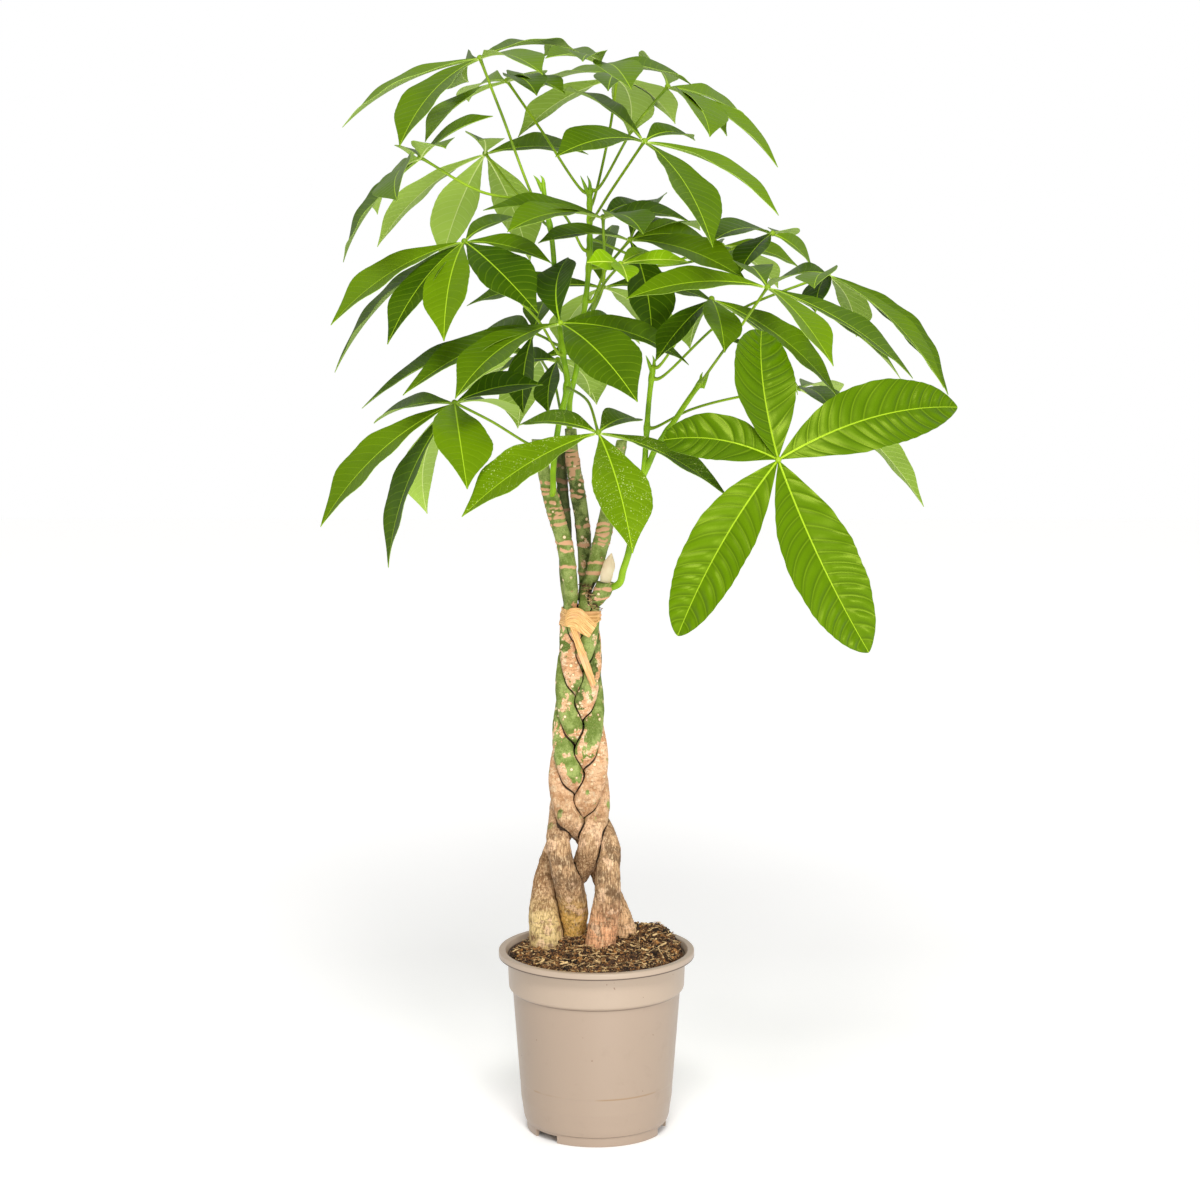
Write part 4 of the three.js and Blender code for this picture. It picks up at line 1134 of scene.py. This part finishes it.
tuft_draws = np.random.default_rng(TUFT_SEED)
share = tuft_draws.random((FIBRES, 1))
tuft = np.array(TUFT_TOP) * share + np.array(TUFT_FOOT) * (1 - share)
tuft += tuft_draws.normal(0, TUFT_SPREAD, (FIBRES, 3))
tuft_skins = [skin(line, number % 2) for number, line in enumerate(straws(tuft, tuft_draws))]
dark_fibre = Finish("dark fibre", 0.9)
dark_fibre.drive("Base Color", dark_fibre.mix(dark_fibre.noise(160), "#2c1d10", "#7a5c38"))
piece("dry_fibres", tuft_skins, [straw_finish, dark_fibre])
print("fibres:", FIBRES)

# %% [markdown]
# ## The green shoots
# Each shoot is this year's growth: a smooth green rod. Its line goes through the same places as in the
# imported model. The lines are worked out here, because the leaves' stalks start from them, and the
# shoots themselves are made after the leaves, because they are thicker where a leaf grows.

# %% Shoot lines
SHOOTS = {
    "shoot_left": {"on": "stem_1", "height": 684, "radii": (3.3, 2.5), "sheath": [-61, -17, 1021],
     "through": [
        [-45, -25, 694], [-45, -25, 712], [-40, -21, 756], [-31, -18, 796], [-30, -17, 808], [-35, -16, 836],
        [-41, -15, 890], [-46, -15, 954], [-52, -15, 987], [-55, -15, 1010]]},
    "shoot_centre": {"on": "stem_2", "height": 715, "radii": (3.4, 2.5), "sheath": [-13, 8, 1021],
     "through": [
        [-28, 27, 724], [-28, 27, 740], [-28, 22, 784], [-21, 17, 816], [-16, 14, 853], [-10, 12, 900],
        [-7, 10, 941], [-7, 10, 975], [-7, 10, 1003]]},
    "shoot_right": {"on": "stem_5", "height": 586, "radii": (3.9, 2.6), "sheath": [55, -8, 836],
     "through": [
        [24, -13, 594], [28, -16, 608], [34, -18, 628], [39, -16, 656], [46, -12, 692], [50, -10, 716],
        [52, -6, 744], [55, -5, 786], [59, -5, 821]]},
    "right_branch": {"on": "shoot_right", "height": 700, "radii": (3.4, 2.6), "sheath": [114, -14, 819],
     "through": [
        [48, -10, 704], [54, -11, 718], [63, -12, 738], [79, -12, 761], [92, -12, 781], [110, -12, 807]]},
}
SHOOT_ROWS = 150

for name, shoot in SHOOTS.items():
    root = on_line(lines[shoot["on"]], shoot["height"])
    path = spread(np.array([root[:3], *shoot["through"]], float), SHOOT_ROWS)
    radius = np.linspace(*shoot["radii"], len(path))[:, None]
    lines[name] = np.hstack([path, radius, radius])
print("shoot tips:", {name: lines[name][-1, :3].round().tolist() for name in SHOOTS})

# %% [markdown]
# ## The leaves
# Every leaf has a stalk, a hub and three to seven leaflets. A leaflet's place is given by its tip, as
# [right, back, up] from the hub, then its width, then how squarely its upper side faces the front: 1
# is full on, 0 is edge on, and below 0 the front shows its underside. All were read off the photograph;
# those on the far side, which it doesn't show, were filled in to close the crown.

# %% Leaf places
LEAVES = [
    {"name": "top_far_left", "shoot": "shoot_left", "height": 984, "bends": [[-98, -35, 1083]],
      "hub": [-118, -40, 1135], "tips": [
        [-144, 40, -68, 54, 0.2], [-76, -90, -91, 58, 0.55], [66, -115, -22, 50, 0.3],
        [97, 100, 12, 46, 0.1], [-18, 130, -18, 46, 0.2],
      ]},
    {"name": "top_left", "shoot": "shoot_centre", "height": 1001, "bends": [[-59, 45, 1067]],
      "hub": [-94, 60, 1117], "tips": [
        [-82, -70, -65, 54, 0.28], [34, -115, -20, 44, 0.5], [62, -80, -17, 40, 0.25],
        [34, 72, 4, 42, 0.12], [-46, 120, -17, 46, 0.15],
      ]},
    {"name": "top_middle", "shoot": "shoot_left", "height": 1015, "bends": [[-17, -10, 1093]],
      "hub": [6, -60, 1127], "tips": [
        [-61, 100, 14, 42, 0.15], [-56, -50, 4, 42, 0.15], [28, -115, -29, 48, 0.7],
        [-19, -105, -2, 38, 0.1], [92, 45, -18, 44, 0.25],
      ]},
    {"name": "top_back", "shoot": "shoot_centre", "height": 988, "bends": [[14, 70, 1066]],
      "hub": [22, 80, 1121], "tips": [
        [-107, 70, -60, 50, -0.4], [-88, 110, -8, 46, 0.15], [14, 125, -58, 50, -0.85],
        [64, 95, -45, 44, -0.4], [-10, -100, -18, 36, 0.85],
      ]},
    {"name": "top_right", "shoot": "shoot_centre", "height": 1003, "bends": [[39, 20, 1067]],
      "hub": [74, 20, 1109], "tips": [
        [-27, 125, 24, 48, 0.12], [88, 60, -37, 50, 0.25], [40, -105, -54, 56, 0.5],
        [59, -60, -52, 50, 0.3], [113, -30, -83, 52, 0.25],
      ]},
    {"name": "upper_left", "shoot": "shoot_centre", "height": 941,
      "bends": [[-40, -20, 984], [-118, -50, 1001]], "hub": [-178, -60, 1035], "tips": [
        [-84, 50, -106, 54, 0.25], [-14, -135, -44, 52, 0.5], [-16, 95, 3, 40, 0.15],
        [75, -35, 40, 42, 0.28], [31, -95, 7, 42, -0.1], [-52, 100, -57, 46, 0.1],
      ]},
    {"name": "upper_back_left", "shoot": "shoot_left", "height": 967, "bends": [[-87, 80, 1003]],
      "hub": [-120, 130, 1043], "tips": [
        [-124, 80, -101, 50, -0.35], [-52, 60, -118, 54, -0.8], [46, 80, -117, 58, -0.8],
        [111, 50, 0, 50, 0.4], [-3, -100, 11, 42, -0.9],
      ]},
    {"name": "upper_right", "shoot": "shoot_centre", "height": 972, "bends": [[16, -60, 1003]],
      "hub": [48, -110, 1050], "tips": [
        [-87, -85, -17, 52, 0.5], [-82, 90, 54, 44, 0.28], [53, 85, 3, 36, 0.4],
        [132, -30, -73, 50, 0.25], [64, -110, -103, 62, 0.55],
      ]},
    {"name": "middle", "shoot": "shoot_centre", "height": 866, "bends": [[7, -45, 906]],
      "hub": [7, -60, 975], "tips": [
        [-121, -20, 7, 48, 0.28], [-94, -95, -14, 50, 0.35], [89, 20, -5, 46, 0.3],
        [39, -115, -16, 50, 0.35], [55, 85, 10, 34, 0.3],
      ]},
    {"name": "middle_right", "shoot": "shoot_centre", "height": 889, "bends": [[10, 0, 921]],
      "hub": [35, 0, 952], "tips": [
        [-94, -58, -3, 44, 0.28], [88, 60, -7, 48, 0.45], [117, -60, -40, 54, 0.5],
        [22, -50, -104, 58, 0.8], [35, 110, 43, 44, 0.5], [77, 125, 9, 44, 0.15],
      ]},
    {"name": "young", "young": True, "shoot": "shoot_centre", "height": 846, "bends": [[4, -70, 902]],
      "hub": [24, -120, 929], "tips": [
        [-33, -30, 2, 26, 0.75], [7, -50, -16, 28, 0.8], [68, 10, 2, 24, 0.6], [32, 45, 11, 24, 0.5],
      ]},
    {"name": "left", "shoot": "shoot_left", "height": 835, "bends": [[-58, -45, 868], [-98, -70, 911]],
      "hub": [-133, -80, 951], "tips": [
        [-133, -30, -83, 58, 0.42], [-136, 35, -134, 50, 0.18], [-73, -75, -100, 46, 0.6],
        [-15, -115, -95, 49, 0.9], [76, -85, -69, 60, 0.75], [88, -5, -22, 46, 0.35],
        [69, 85, 19, 44, 0.25],
      ]},
    {"name": "low_left", "shoot": "stem_1", "height": 740, "bends": [[-108, -80, 770]],
      "hub": [-142, -120, 791], "tips": [
        [-86, 60, -25, 46, 0.2], [-134, -20, -123, 58, 0.5], [-69, 10, -168, 54, 0.42],
        [-35, 105, -123, 48, -0.6], [18, -120, -75, 62, 0.85], [88, 30, 16, 48, 0.45],
        [61, 110, -26, 42, -0.2],
      ]},
    {"name": "front", "shoot": "shoot_left", "height": 799, "bends": [[-8, -110, 791]],
      "hub": [2, -180, 766], "tips": [
        [-132, -50, -78, 58, 0.55], [-81, 60, 2, 46, 0.28], [40, 75, 7, 38, 0.42],
        [126, -40, -60, 46, 0.28], [33, -95, -108, 60, 0.88],
      ]},
    {"name": "front_right", "shoot": "right_branch", "height": 755, "bends": [[120, -110, 761]],
      "hub": [174, -260, 746], "tips": [
        [-12, 85, 119, 61, 0.95], [178, 60, 46, 66, 0.95], [87, -20, -183, 70, 0.97],
        [-96, -20, -167, 60, 0.95], [-109, 35, 16, 50, 0.85],
      ]},
    {"name": "right", "shoot": "right_branch", "height": 804, "bends": [[150, -100, 873]],
      "hub": [169, -150, 907], "tips": [
        [-140, -20, -11, 46, 0.48], [60, -70, -74, 48, 0.5], [147, 20, -91, 50, 0.35],
        [140, 70, -94, 46, 0.3], [-14, 110, 16, 40, 0.7],
      ]},
    {"name": "inner_right", "shoot": "shoot_right", "height": 821, "bends": [[96, -40, 868]],
      "hub": [117, -70, 893], "tips": [
        [-58, -50, -61, 42, 0.55], [-20, 55, -53, 36, -0.5], [132, 30, -102, 54, 0.45],
        [96, 105, -104, 48, 0.15], [10, -85, -50, 44, 0.8],
      ]},
    {"name": "far_right", "shoot": "shoot_right", "height": 809, "bends": [[138, -18, 874]],
      "hub": [238, -30, 917], "tips": [
        [-20, -80, -12, 44, 0.3], [-17, -60, -37, 36, 0.6], [126, 0, -124, 56, 0.42],
        [114, -60, -113, 48, 0.32], [39, 95, -68, 46, -0.5], [-62, 80, -20, 42, 0.1],
      ]},
    {"name": "upper_far_right", "shoot": "shoot_centre", "height": 923, "bends": [[99, 50, 928]],
      "hub": [185, 40, 958], "tips": [
        [-64, -80, -6, 44, 0.35], [-39, -60, -42, 38, 0.6], [45, 40, -37, 36, 0.4],
        [21, 70, -8, 34, -0.3],
      ]},
    {"name": "low_right", "shoot": "shoot_right", "height": 757, "bends": [[99, 20, 774], [150, 40, 786]],
      "hub": [217, 60, 794], "tips": [
        [140, 50, -132, 52, -0.4], [49, 110, -18, 44, -0.3], [27, -90, -17, 40, 0.5],
        [-86, 30, 53, 34, 0.3],
      ]},
    {"name": "back_middle", "shoot": "shoot_centre", "height": 870, "bends": [[-3, 80, 885]],
      "hub": [7, 130, 900], "tips": [
        [-150, 40, -22, 50, 0.4], [73, 90, -65, 56, -0.6], [124, 50, -19, 46, 0.4],
        [10, 80, 66, 46, 0.7], [-48, 70, -67, 48, -0.5],
      ]},
    {"name": "low_back", "shoot": "shoot_left", "height": 776, "bends": [[-45, 60, 800]],
      "hub": [-62, 150, 822], "tips": [
        [-96, 70, -48, 50, -0.4], [-28, 110, -86, 54, -0.8], [62, 100, -58, 52, -0.6],
        [92, 40, -8, 46, 0.3], [-112, 5, -6, 44, 0.3],
      ]},
    {"name": "inner_left", "shoot": "shoot_left", "height": 802, "bends": [[-34, 20, 814]],
      "hub": [-41, 50, 825], "tips": [
        [-9, -60, -53, 34, 0.7], [-69, 70, -21, 44, 0.3], [34, 80, -43, 40, -0.6],
      ]},
    {"name": "inner_left_high", "shoot": "shoot_left", "height": 844, "bends": [[-54, 10, 850]],
      "hub": [-66, 20, 855], "tips": [
        [-10, -30, -83, 42, 0.7], [-60, 70, -6, 40, 0.3], [11, 80, 31, 38, 0.8],
      ]},
    {"name": "big_front", "shoot": "shoot_centre", "height": 837, "bends": [[-27, -60, 856]],
      "hub": [-36, -110, 870], "tips": [
        [76, -115, -71, 68, 0.8], [7, 95, 64, 46, 0.85], [-202, 25, -87, 50, 0.25],
        [-155, -50, -69, 56, 0.35], [-100, -110, -68, 58, 0.5], [81, 100, -25, 46, 0.3],
        [131, 60, -45, 48, 0.4],
      ]},
    {"name": "far_back_right", "shoot": "shoot_centre", "height": 951, "bends": [[68, 90, 927]],
      "hub": [137, 150, 944], "tips": [
        [11, -70, -30, 34, 0.85], [87, 30, -25, 40, 0.4], [66, 70, -48, 46, -0.3],
        [-32, 90, -15, 44, -0.3],
      ]},
]
print("leaves:", len(LEAVES), "leaflets:", sum(len(leaf["tips"]) for leaf in LEAVES))

# %% Leaflet tones
# How bright each leaflet is, from 0 to 1, where the photograph shows it well: partly its own tone, partly
# painted light and shade. The others draw theirs.
TONES_AND_LIGHT = {
    "left": [0.8, 0.25, 0.1, 0.9, 0.0, 0.6, 0.4],
    "low_left": [0.5, 0.65, 0.2, 0.9, 0.85, 0.0, 0.6],
    "front": [0.9, 0.5, 0.4, 0.4, 0.8],
    "big_front": [0.3, 0.0, 0.3, 0.35, 0.5, 0.4, 0.3],
    "middle_right": [0.3, 0.6, 0.7, 0.05, 0.3, 0.3],
    "inner_left": [0.15, 0.2, 0.3],
    "inner_left_high": [0.05, 0.3, 0.4],
    "front_right": [0.6, 0.55, 0.65, 0.8, 0.5],
}


def drawn_tones_and_light(hub, tips, draws):
    """A random tone for each leaflet, with painted shade near the plant's axis, where others shade it, and
    painted light high up."""
    inner = [0.35 + 0.65 * blend(math.hypot(hub[0] + tip[0], hub[1] + tip[1]), 60, 260) for tip in tips]
    return draws.random(len(tips)) * inner + 0.3 * blend(hub[2], 960, 1100)


print("leaves with tones read by hand:", len(TONES_AND_LIGHT))

# %% [markdown]
# A leaflet is a thin blade on a rib. It is laid out by two numbers: `t` runs along it from 0 at the hub
# to 1 at the tip, and `v` runs across it from -1 to 1. Its outline is widest at the middle or past it,
# and draws out to a point or ends blunt. Its rib arches between hub and tip, and bends a little to one
# side.
#
# The big leaf at the front right is nearest to the camera and faces it, so its leaflets have their
# bends and ends given one by one, a finer grid and a deeper quilting. The others draw their bends at random.

# %% Leaflet outline and rib
PLAIN = {"spacing": 9.3, "swell": 0.4, "row": 2.6, "columns": 17}
QUILTED = {"spacing": 13.5, "swell": 2.1, "row": 1.2, "columns": 33}
QUILTED_LEAF = "front_right"
QUILTED_BENDS = [0.07, 0.055, -0.045, -0.02, -0.05]     # sideways, as a share of the length
QUILTED_ENDS = [0.6, 0.8, 0.75, 0.68, 0.6]              # how blunt each is
PLAIN_BEND = 0.028                                      # the usual size of a drawn one
ARCH = 0.08                            # of the length


def upper_side(chord, open_share):
    """Square to the chord, facing the front by a share: of the two ways to do so, the one looking up."""
    front = unit(np.array([0, -1, 0]) + chord * chord[1])
    side = np.cross(chord, front)
    return front * open_share + side * math.sqrt(1 - open_share ** 2) * (-1 if side[2] < 0 else 1)


def outline(t, end):
    """The half width along a leaflet, as a share of its greatest. A pointed one follows sin(pi t^1.3),
    drawn in near the tip. A blunt one widens as sin(pi t) to its middle, and then narrows as
    (1 - u^2.4)^end, where u runs from 0 at the middle to 1 at the tip."""
    if end is None:
        return np.sin(np.pi * t ** 1.3) * (1 - 0.34 * blend(t, 0.7, 0.97))
    past = np.clip(2 * t - 1, 0, 1)
    return np.where(t < 0.5, np.sin(np.pi * t), (1 - past ** 2.4) ** end)


def rib_line(hub, reach, open_share, bend, t):
    """The rib, hub + reach t + (arch lift + bend side) 4 t (1 - t), and the directions that stand square
    to it: out of the upper side, and across the blade."""
    length = np.linalg.norm(reach)
    lift = upper_side(reach / length, open_share)
    bow = length * (ARCH * lift + bend * np.cross(lift, reach / length))
    line = hub + reach * t + bow * 4 * t * (1 - t)
    along = unit(np.gradient(line, axis=0))
    normal = unit(lift - (along @ lift)[:, None] * along)
    return line, normal, np.cross(normal, along)


print("half widths of a pointed leaflet:", outline(np.linspace(0, 1, 6), None).round(2).tolist())

# %% [markdown]
# The blade folds up a little along the rib, waves along the edge and swells between the side veins,
# most of all towards the tip. The veins run forward as they near the edge, and they stand unevenly, as
# grown ones do. The number of the vein goes to the mesh as a mark, so that the finish can draw each
# vein exactly where the surface dips.

# %% Leaflet surface
THICKNESS = 0.45
FOLD = 0.22                            # of the half width
HUB_GAP = 1.2                          # mm from the hub at which a blade begins
LEAST_HALF = 0.5                       # mm


def side_veins(t, v, half, length, spacing, bend, start):
    """The number of the side vein at each place. It grows by 1 every `spacing` mm along the rib, lags
    towards the edge, is half a step off between the two sides, and sways to and fro along the leaflet."""
    lag = half * (0.45 * np.abs(v) + 0.3 * np.abs(v) ** 3)
    vein = (t * length - lag) / spacing + start + 0.5 * (v > 0)
    return vein + 0.33 * np.sin(11 * t + 30 * bend + 1.5 * np.sign(v))


def blade_rise(t, v, half, vein, length, swell, draws):
    """How far the blade lies above its rib, in mm: fold |v|^1.3 + wave v^2 + swell sin^2(pi vein)."""
    between = np.sin(np.pi * vein) ** 2 * blend(half * np.abs(v), 1, 9) * (1 - np.abs(v) ** 5)
    swollen = swell * between * (0.22 + 0.78 * blend(t, 0.35, 0.8))
    wave = np.sin(2 * np.pi * (t * length / draws.uniform(40, 62) + draws.random()) + 2.2 * np.sign(v))
    return FOLD * half * np.abs(v) ** 1.3 + 0.045 * half * v * v * wave + swollen


def there_and_back(value):
    """The columns of an array, and then the same again from the last to the first."""
    return np.concatenate([value, value[:, ::-1]], 1)


def leaflet_skin(hub, tip, look, bend, end, tone, draws):
    """Rings round the blade: over the upper side, and back along the lower one, which lies THICKNESS
    under it and further down along the rib."""
    reach, (width, open_share) = np.array(tip[:3], float), tip[3:]
    length = np.linalg.norm(reach)
    t = np.linspace(HUB_GAP / length, 1, int(length / look["row"]))[:, None]
    evenly = np.linspace(1, -1, look["columns"])[None, :]
    v = np.sign(evenly) * np.abs(evenly) ** 1.4
    line, normal, side = rib_line(hub, reach, open_share, bend, t)
    half = np.clip(width / 2 * outline(t, end), LEAST_HALF, None)
    vein = side_veins(t, v, half, length, look["spacing"], bend, draws.random())
    rise = blade_rise(t, v, half, vein, length, look["swell"], draws)
    in_rib = np.exp(-(half * v / (0.9 + 0.9 * (1 - t))) ** 2)
    upper = rise + THICKNESS / 2 - 0.35 * in_rib
    lower = rise - THICKNESS / 2 - (1.7 * (1 - t) ** 1.5 + 0.4) * in_rib
    edge = 1 + 0.008 * np.sin(2 * np.pi * vein) * np.abs(v)
    flat = line[:, None] + side[:, None] * (v * half * edge)[..., None]
    top, bottom = [flat + normal[:, None] * height[..., None] for height in (upper, lower)]
    faces = [0] * (look["columns"] - 1) + [1] * (look["columns"] + 1)
    rib = half * np.abs(v) / (0.3 + 0.6 * (1 - t))
    rings = np.concatenate([top, bottom[:, ::-1]], 1)
    return skin(rings, faces, vein=there_and_back(vein), rib=there_and_back(rib), tone=tone)


print("side veins on a leaflet of 140 mm:", round(140 / PLAIN["spacing"]), "or",
      round(140 / QUILTED["spacing"]), "on the big leaf")

# %% [markdown]
# A stalk starts inside its shoot, leaves it straight outwards, and then turns to where the photograph
# shows it. It is thicker at both ends. A small ball closes the hub, where the leaflets meet.

# %% Stalks
STALK_RADIUS = 1.45
HUB_RADIUS = 3.2


def stalk_rings(parent, height, bends, hub):
    """A tube from inside the shoot to the hub. Its radius is STALK_RADIUS + 1.1 exp(-d / 5)
    + 0.8 exp(-e / 5), at d mm from the shoot's skin and e mm from the hub. The shoot's direction is
    measured 2 mm above and below `height`, so `height` has to lie under the shoot's tip."""
    centre = on_line(parent, height)
    step = unit(on_line(parent, height + 2)[:3] - on_line(parent, height - 2)[:3])
    towards = np.array(bends[0]) - centre[:3]
    out = unit(towards - (towards @ step) * step)
    line = spread([centre[:3], centre[:3] + out * (centre[3] + 4.5), *bends, hub], 44)
    run = np.concatenate([[0], np.cumsum(np.linalg.norm(np.diff(line, axis=0), axis=1))])
    left = run[-1] - run
    radius = STALK_RADIUS + 1.1 * np.exp(-np.maximum(0, run - centre[3]) / 5) + 0.8 * np.exp(-left / 5)
    return tube(line, radius, radius, 10)


def leaf_skins(leaf, draws):
    """One skin for each leaflet, one for the stalk and one for the hub."""
    hub, tips = np.array(leaf["hub"], float), leaf["tips"]
    quilted = leaf["name"] == QUILTED_LEAF
    look = QUILTED if quilted else PLAIN
    bends = QUILTED_BENDS if quilted else draws.normal(0, PLAIN_BEND, len(tips))
    ends = QUILTED_ENDS if quilted else [None] * len(tips)
    tones = TONES_AND_LIGHT.get(leaf["name"], drawn_tones_and_light(hub, tips, draws))
    blades = [leaflet_skin(hub, tip, look, bend, end, tone, draws)
              for tip, bend, end, tone in zip(tips, bends, ends, tones)]
    plain = {"vein": 0, "rib": 9, "tone": 0}
    stalk = skin(stalk_rings(lines[leaf["shoot"]], leaf["height"], leaf["bends"], hub), 2, **plain)
    return [*blades, stalk, skin(hub + HUB_RADIUS * round_ball(10, 12, 0.02), 2, **plain)]


print("a stalk is", 2 * STALK_RADIUS, "mm thick, and its hub", 2 * HUB_RADIUS, "mm")

# %% [markdown]
# The upper side is a glossy yellow-green, and the underside is paler and duller. Each leaflet has its
# own tone, which also carries painted light and shade. The side veins are a little lighter than the
# blade, and the rib is the lightest. Three leaves have finishes of their own: on the big one painted
# shade darkens the blade towards each side vein, where the quilting dips, one has pale flecks, as if
# water had dried on it, and the youngest is the brightest.


# %% Leaf finishes
def leaf_finish(name, colours, roughness, vein_share, gloss=0.2, specks=0, valley_shade=0):
    """`colours` are the blade's deep and bright green, then the side veins and the rib. The valley share is
    how much painted shade darkens the blade towards each side vein, where the quilting dips."""
    deep, bright, vein_colour, rib_colour = colours
    finish = Finish(name, roughness, Specular_IOR_Level=gloss, Specular_Tint=rgb("#dcf060"))
    on_vein = abs(finish.mark("vein").fraction() - 0.5)
    mottle = finish.noise(22, detail=3) - 0.5
    # the tone is partly each leaflet's own and partly painted light and shade
    blade = finish.mix(finish.mark("tone") + mottle * 0.6, deep, bright)
    # painted shade: the blade darker towards each side vein, in the dips of the quilting
    blade = finish.mix(on_vein.fade(0.15, 0.43) * valley_shade, blade, "#2c4603")
    blade = finish.mix(on_vein.fade(0.41, 0.485) * vein_share, blade, vein_colour)
    if specks:
        fleck = finish.noise(700, detail=1).fade(0.64, 0.7) * finish.noise(70).fade(0.42, 0.55)
        blade = finish.mix(fleck * specks, blade, "#d4dc90")
    blade = finish.mix(finish.mark("rib").fade(1.25, 0.8), blade, rib_colour)
    finish.drive("Base Color", blade)
    finish.drive("Roughness", roughness + 0.15 * mottle)
    finish.bump(on_vein.fade(0.5, 0.3) + 0.25 * finish.noise(500), 0.25, 0.6)
    return finish


def stalk_finish(name, low, high):
    """Two shades in soft clouds, with a fine grain along the height."""
    finish = Finish(name, 0.45, Specular_IOR_Level=0.25)
    finish.drive("Base Color", finish.mix(finish.noise(30, detail=3).fade(0.35, 0.65), low, high))
    finish.bump(finish.noise(300, finish.stretched(1, 1, 0.2)), 0.2, 0.5)
    return finish


UPPER = ["#335005", "#648406", "#809e1c", "#a2c428"]
QUILTED_UPPER = ["#365600", "#587a00", "#6f9010", "#98b824"]
UNDER = ["#7c9a34", "#a4c252", "#b8d070", "#d4e48e"]
YOUNG_UPPER = ["#7ea40e", "#96ba1a", "#a8c83c", "#cde05c"]
YOUNG_UNDER = ["#94b348", "#a6c25c", "#b8d07c", "#d0e094"]
stalk = stalk_finish("leaf stalk", "#6f8f10", "#94b41c")
underside = leaf_finish("leaf underside", UNDER, 0.6, 0.5)
quilted_side = leaf_finish("quilted upper side", QUILTED_UPPER, 0.34, 0.5, gloss=0.5, valley_shade=0.4)
LEAF_FINISHES = {
    "plain": [leaf_finish("leaf upper side", UPPER, 0.4, 0.25), underside, stalk],
    "front": [leaf_finish("flecked upper side", UPPER, 0.42, 0.4, specks=0.6), underside, stalk],
    QUILTED_LEAF: [quilted_side, underside, stalk],
    "young": [leaf_finish("young upper side", YOUNG_UPPER, 0.4, 0.4),
              leaf_finish("young underside", YOUNG_UNDER, 0.55, 0.4), stalk],
}
print("leaf finishes:", list(LEAF_FINISHES))

# %% Leaves
LEAF_SEED = 500

leaf_faces = 0
for number, leaf in enumerate(LEAVES):
    skins = leaf_skins(leaf, np.random.default_rng(LEAF_SEED + number))
    finishes = LEAF_FINISHES.get(leaf["name"], LEAF_FINISHES["plain"])
    made = piece(f"leaf_{leaf['name']}_skin", skins, finishes, [f"leaf_{leaf['name']}"], sharp=70)
    leaf_faces += len(made.data.polygons)
print("leaf faces:", leaf_faces)

# %% [markdown]
# ## Shoots and their sheaths
# Now that the leaves are known, the shoots can be made. A shoot is a third thicker where a leaf grows
# out of it, and up to half as thick again where leaves stand close. A pair of tiny pointed scales
# closes its tip.

# %% Shoots
SHOOT_PIECES = {"shoot_left": ["shoot_left"], "shoot_centre": ["shoot_centre"],
                "shoot_right": ["shoot_right", "right_branch"]}
SHEATH_ROWS = 14
SHEATH_RADII = [(0, 2.6), (0.4, 2.0), (1, 0.25)]        # share of the length, radius
SHEATH_LEANS = (-3.5, 3.5)                              # mm to each side at the tip


def shoot_skin(name):
    """The shoot's tube, thicker by 0.32 exp(-(d / 5)^2) at d mm from a leaf, with fine ridges along it."""
    line = lines[name]
    joints = [leaf["height"] for leaf in LEAVES if leaf["shoot"] == name]
    swell = sum(0.32 * np.exp(-((line[:, 2] - joint) / 5) ** 2) for joint in joints)
    radius = line[:, 3] * (1 + np.minimum(swell, 0.5))
    rings = tube(line[:, :3], radius, radius, 20)
    ridges = 0.12 * noise(rings * [1, 1, 0.2], 1.6, 3)
    return skin(rings + ridges[..., None] * unit(rings - line[:, None, :3]))


def sheath_skins(name):
    """Two small pointed scales that close the tip of a shoot."""
    top = lines[name][-1, :3]
    point = np.array(SHOOTS[name]["sheath"], float)
    for lean in SHEATH_LEANS:
        end = point + [lean, 0, -abs(lean)]
        line = spread([top - [0, 0, 8], (top + end) / 2 + [lean * 0.4, 0, 0], end], SHEATH_ROWS)
        size = np.interp(np.linspace(0, 1, SHEATH_ROWS), *zip(*SHEATH_RADII))
        yield skin(tube(line, size, size * 0.7, 12))


shoot_finish = stalk_finish("shoot", "#68900c", "#98c01c")
for node, names in SHOOT_PIECES.items():
    skins = [shoot_skin(name) for name in names]
    skins += [scale for name in names for scale in sheath_skins(name)]
    made = piece(f"{node}_skin", skins, [shoot_finish], [node], sharp=60)
    print(made.name, "faces:", len(made.data.polygons))

# %% [markdown]
# The short stem carries no shoot at its top, but the dry sheath of an old one: pale, papery, ribbed and
# pointed. It is a flat tube with its ribs in the mesh.

# %% Dry sheath
# [x, y, z] from the top of the stem, then half the width and half the depth.
DRY_SHEATH = [[0, 0, 0.3, 5.4, 3.4], [1.5, 0, 9, 6.6, 3], [4, 0, 20, 6, 2.4], [6.5, 0, 31, 0.5, 0.5]]

seat = lines["stem_5"][-1, :3]
dry = spread([[*(seat + row[:3]), *row[3:]] for row in DRY_SHEATH], 26)
dry_rings = tube(dry[:, :3], dry[:, 3], dry[:, 4], 28)
ribs = 0.5 * noise(dry_rings * [1, 1, 0.1], 1.5, 5)
dry_rings = dry_rings + ribs[..., None] * unit(dry_rings - dry[:, None, :3])
dry_finish = stalk_finish("dry sheath", "#dcb68c", "#f6e2c4")
piece("dry_sheath_skin", [skin(dry_rings)], [dry_finish], ["dry_sheath"], sharp=60)
print("dry sheath from", seat.round(1).tolist())
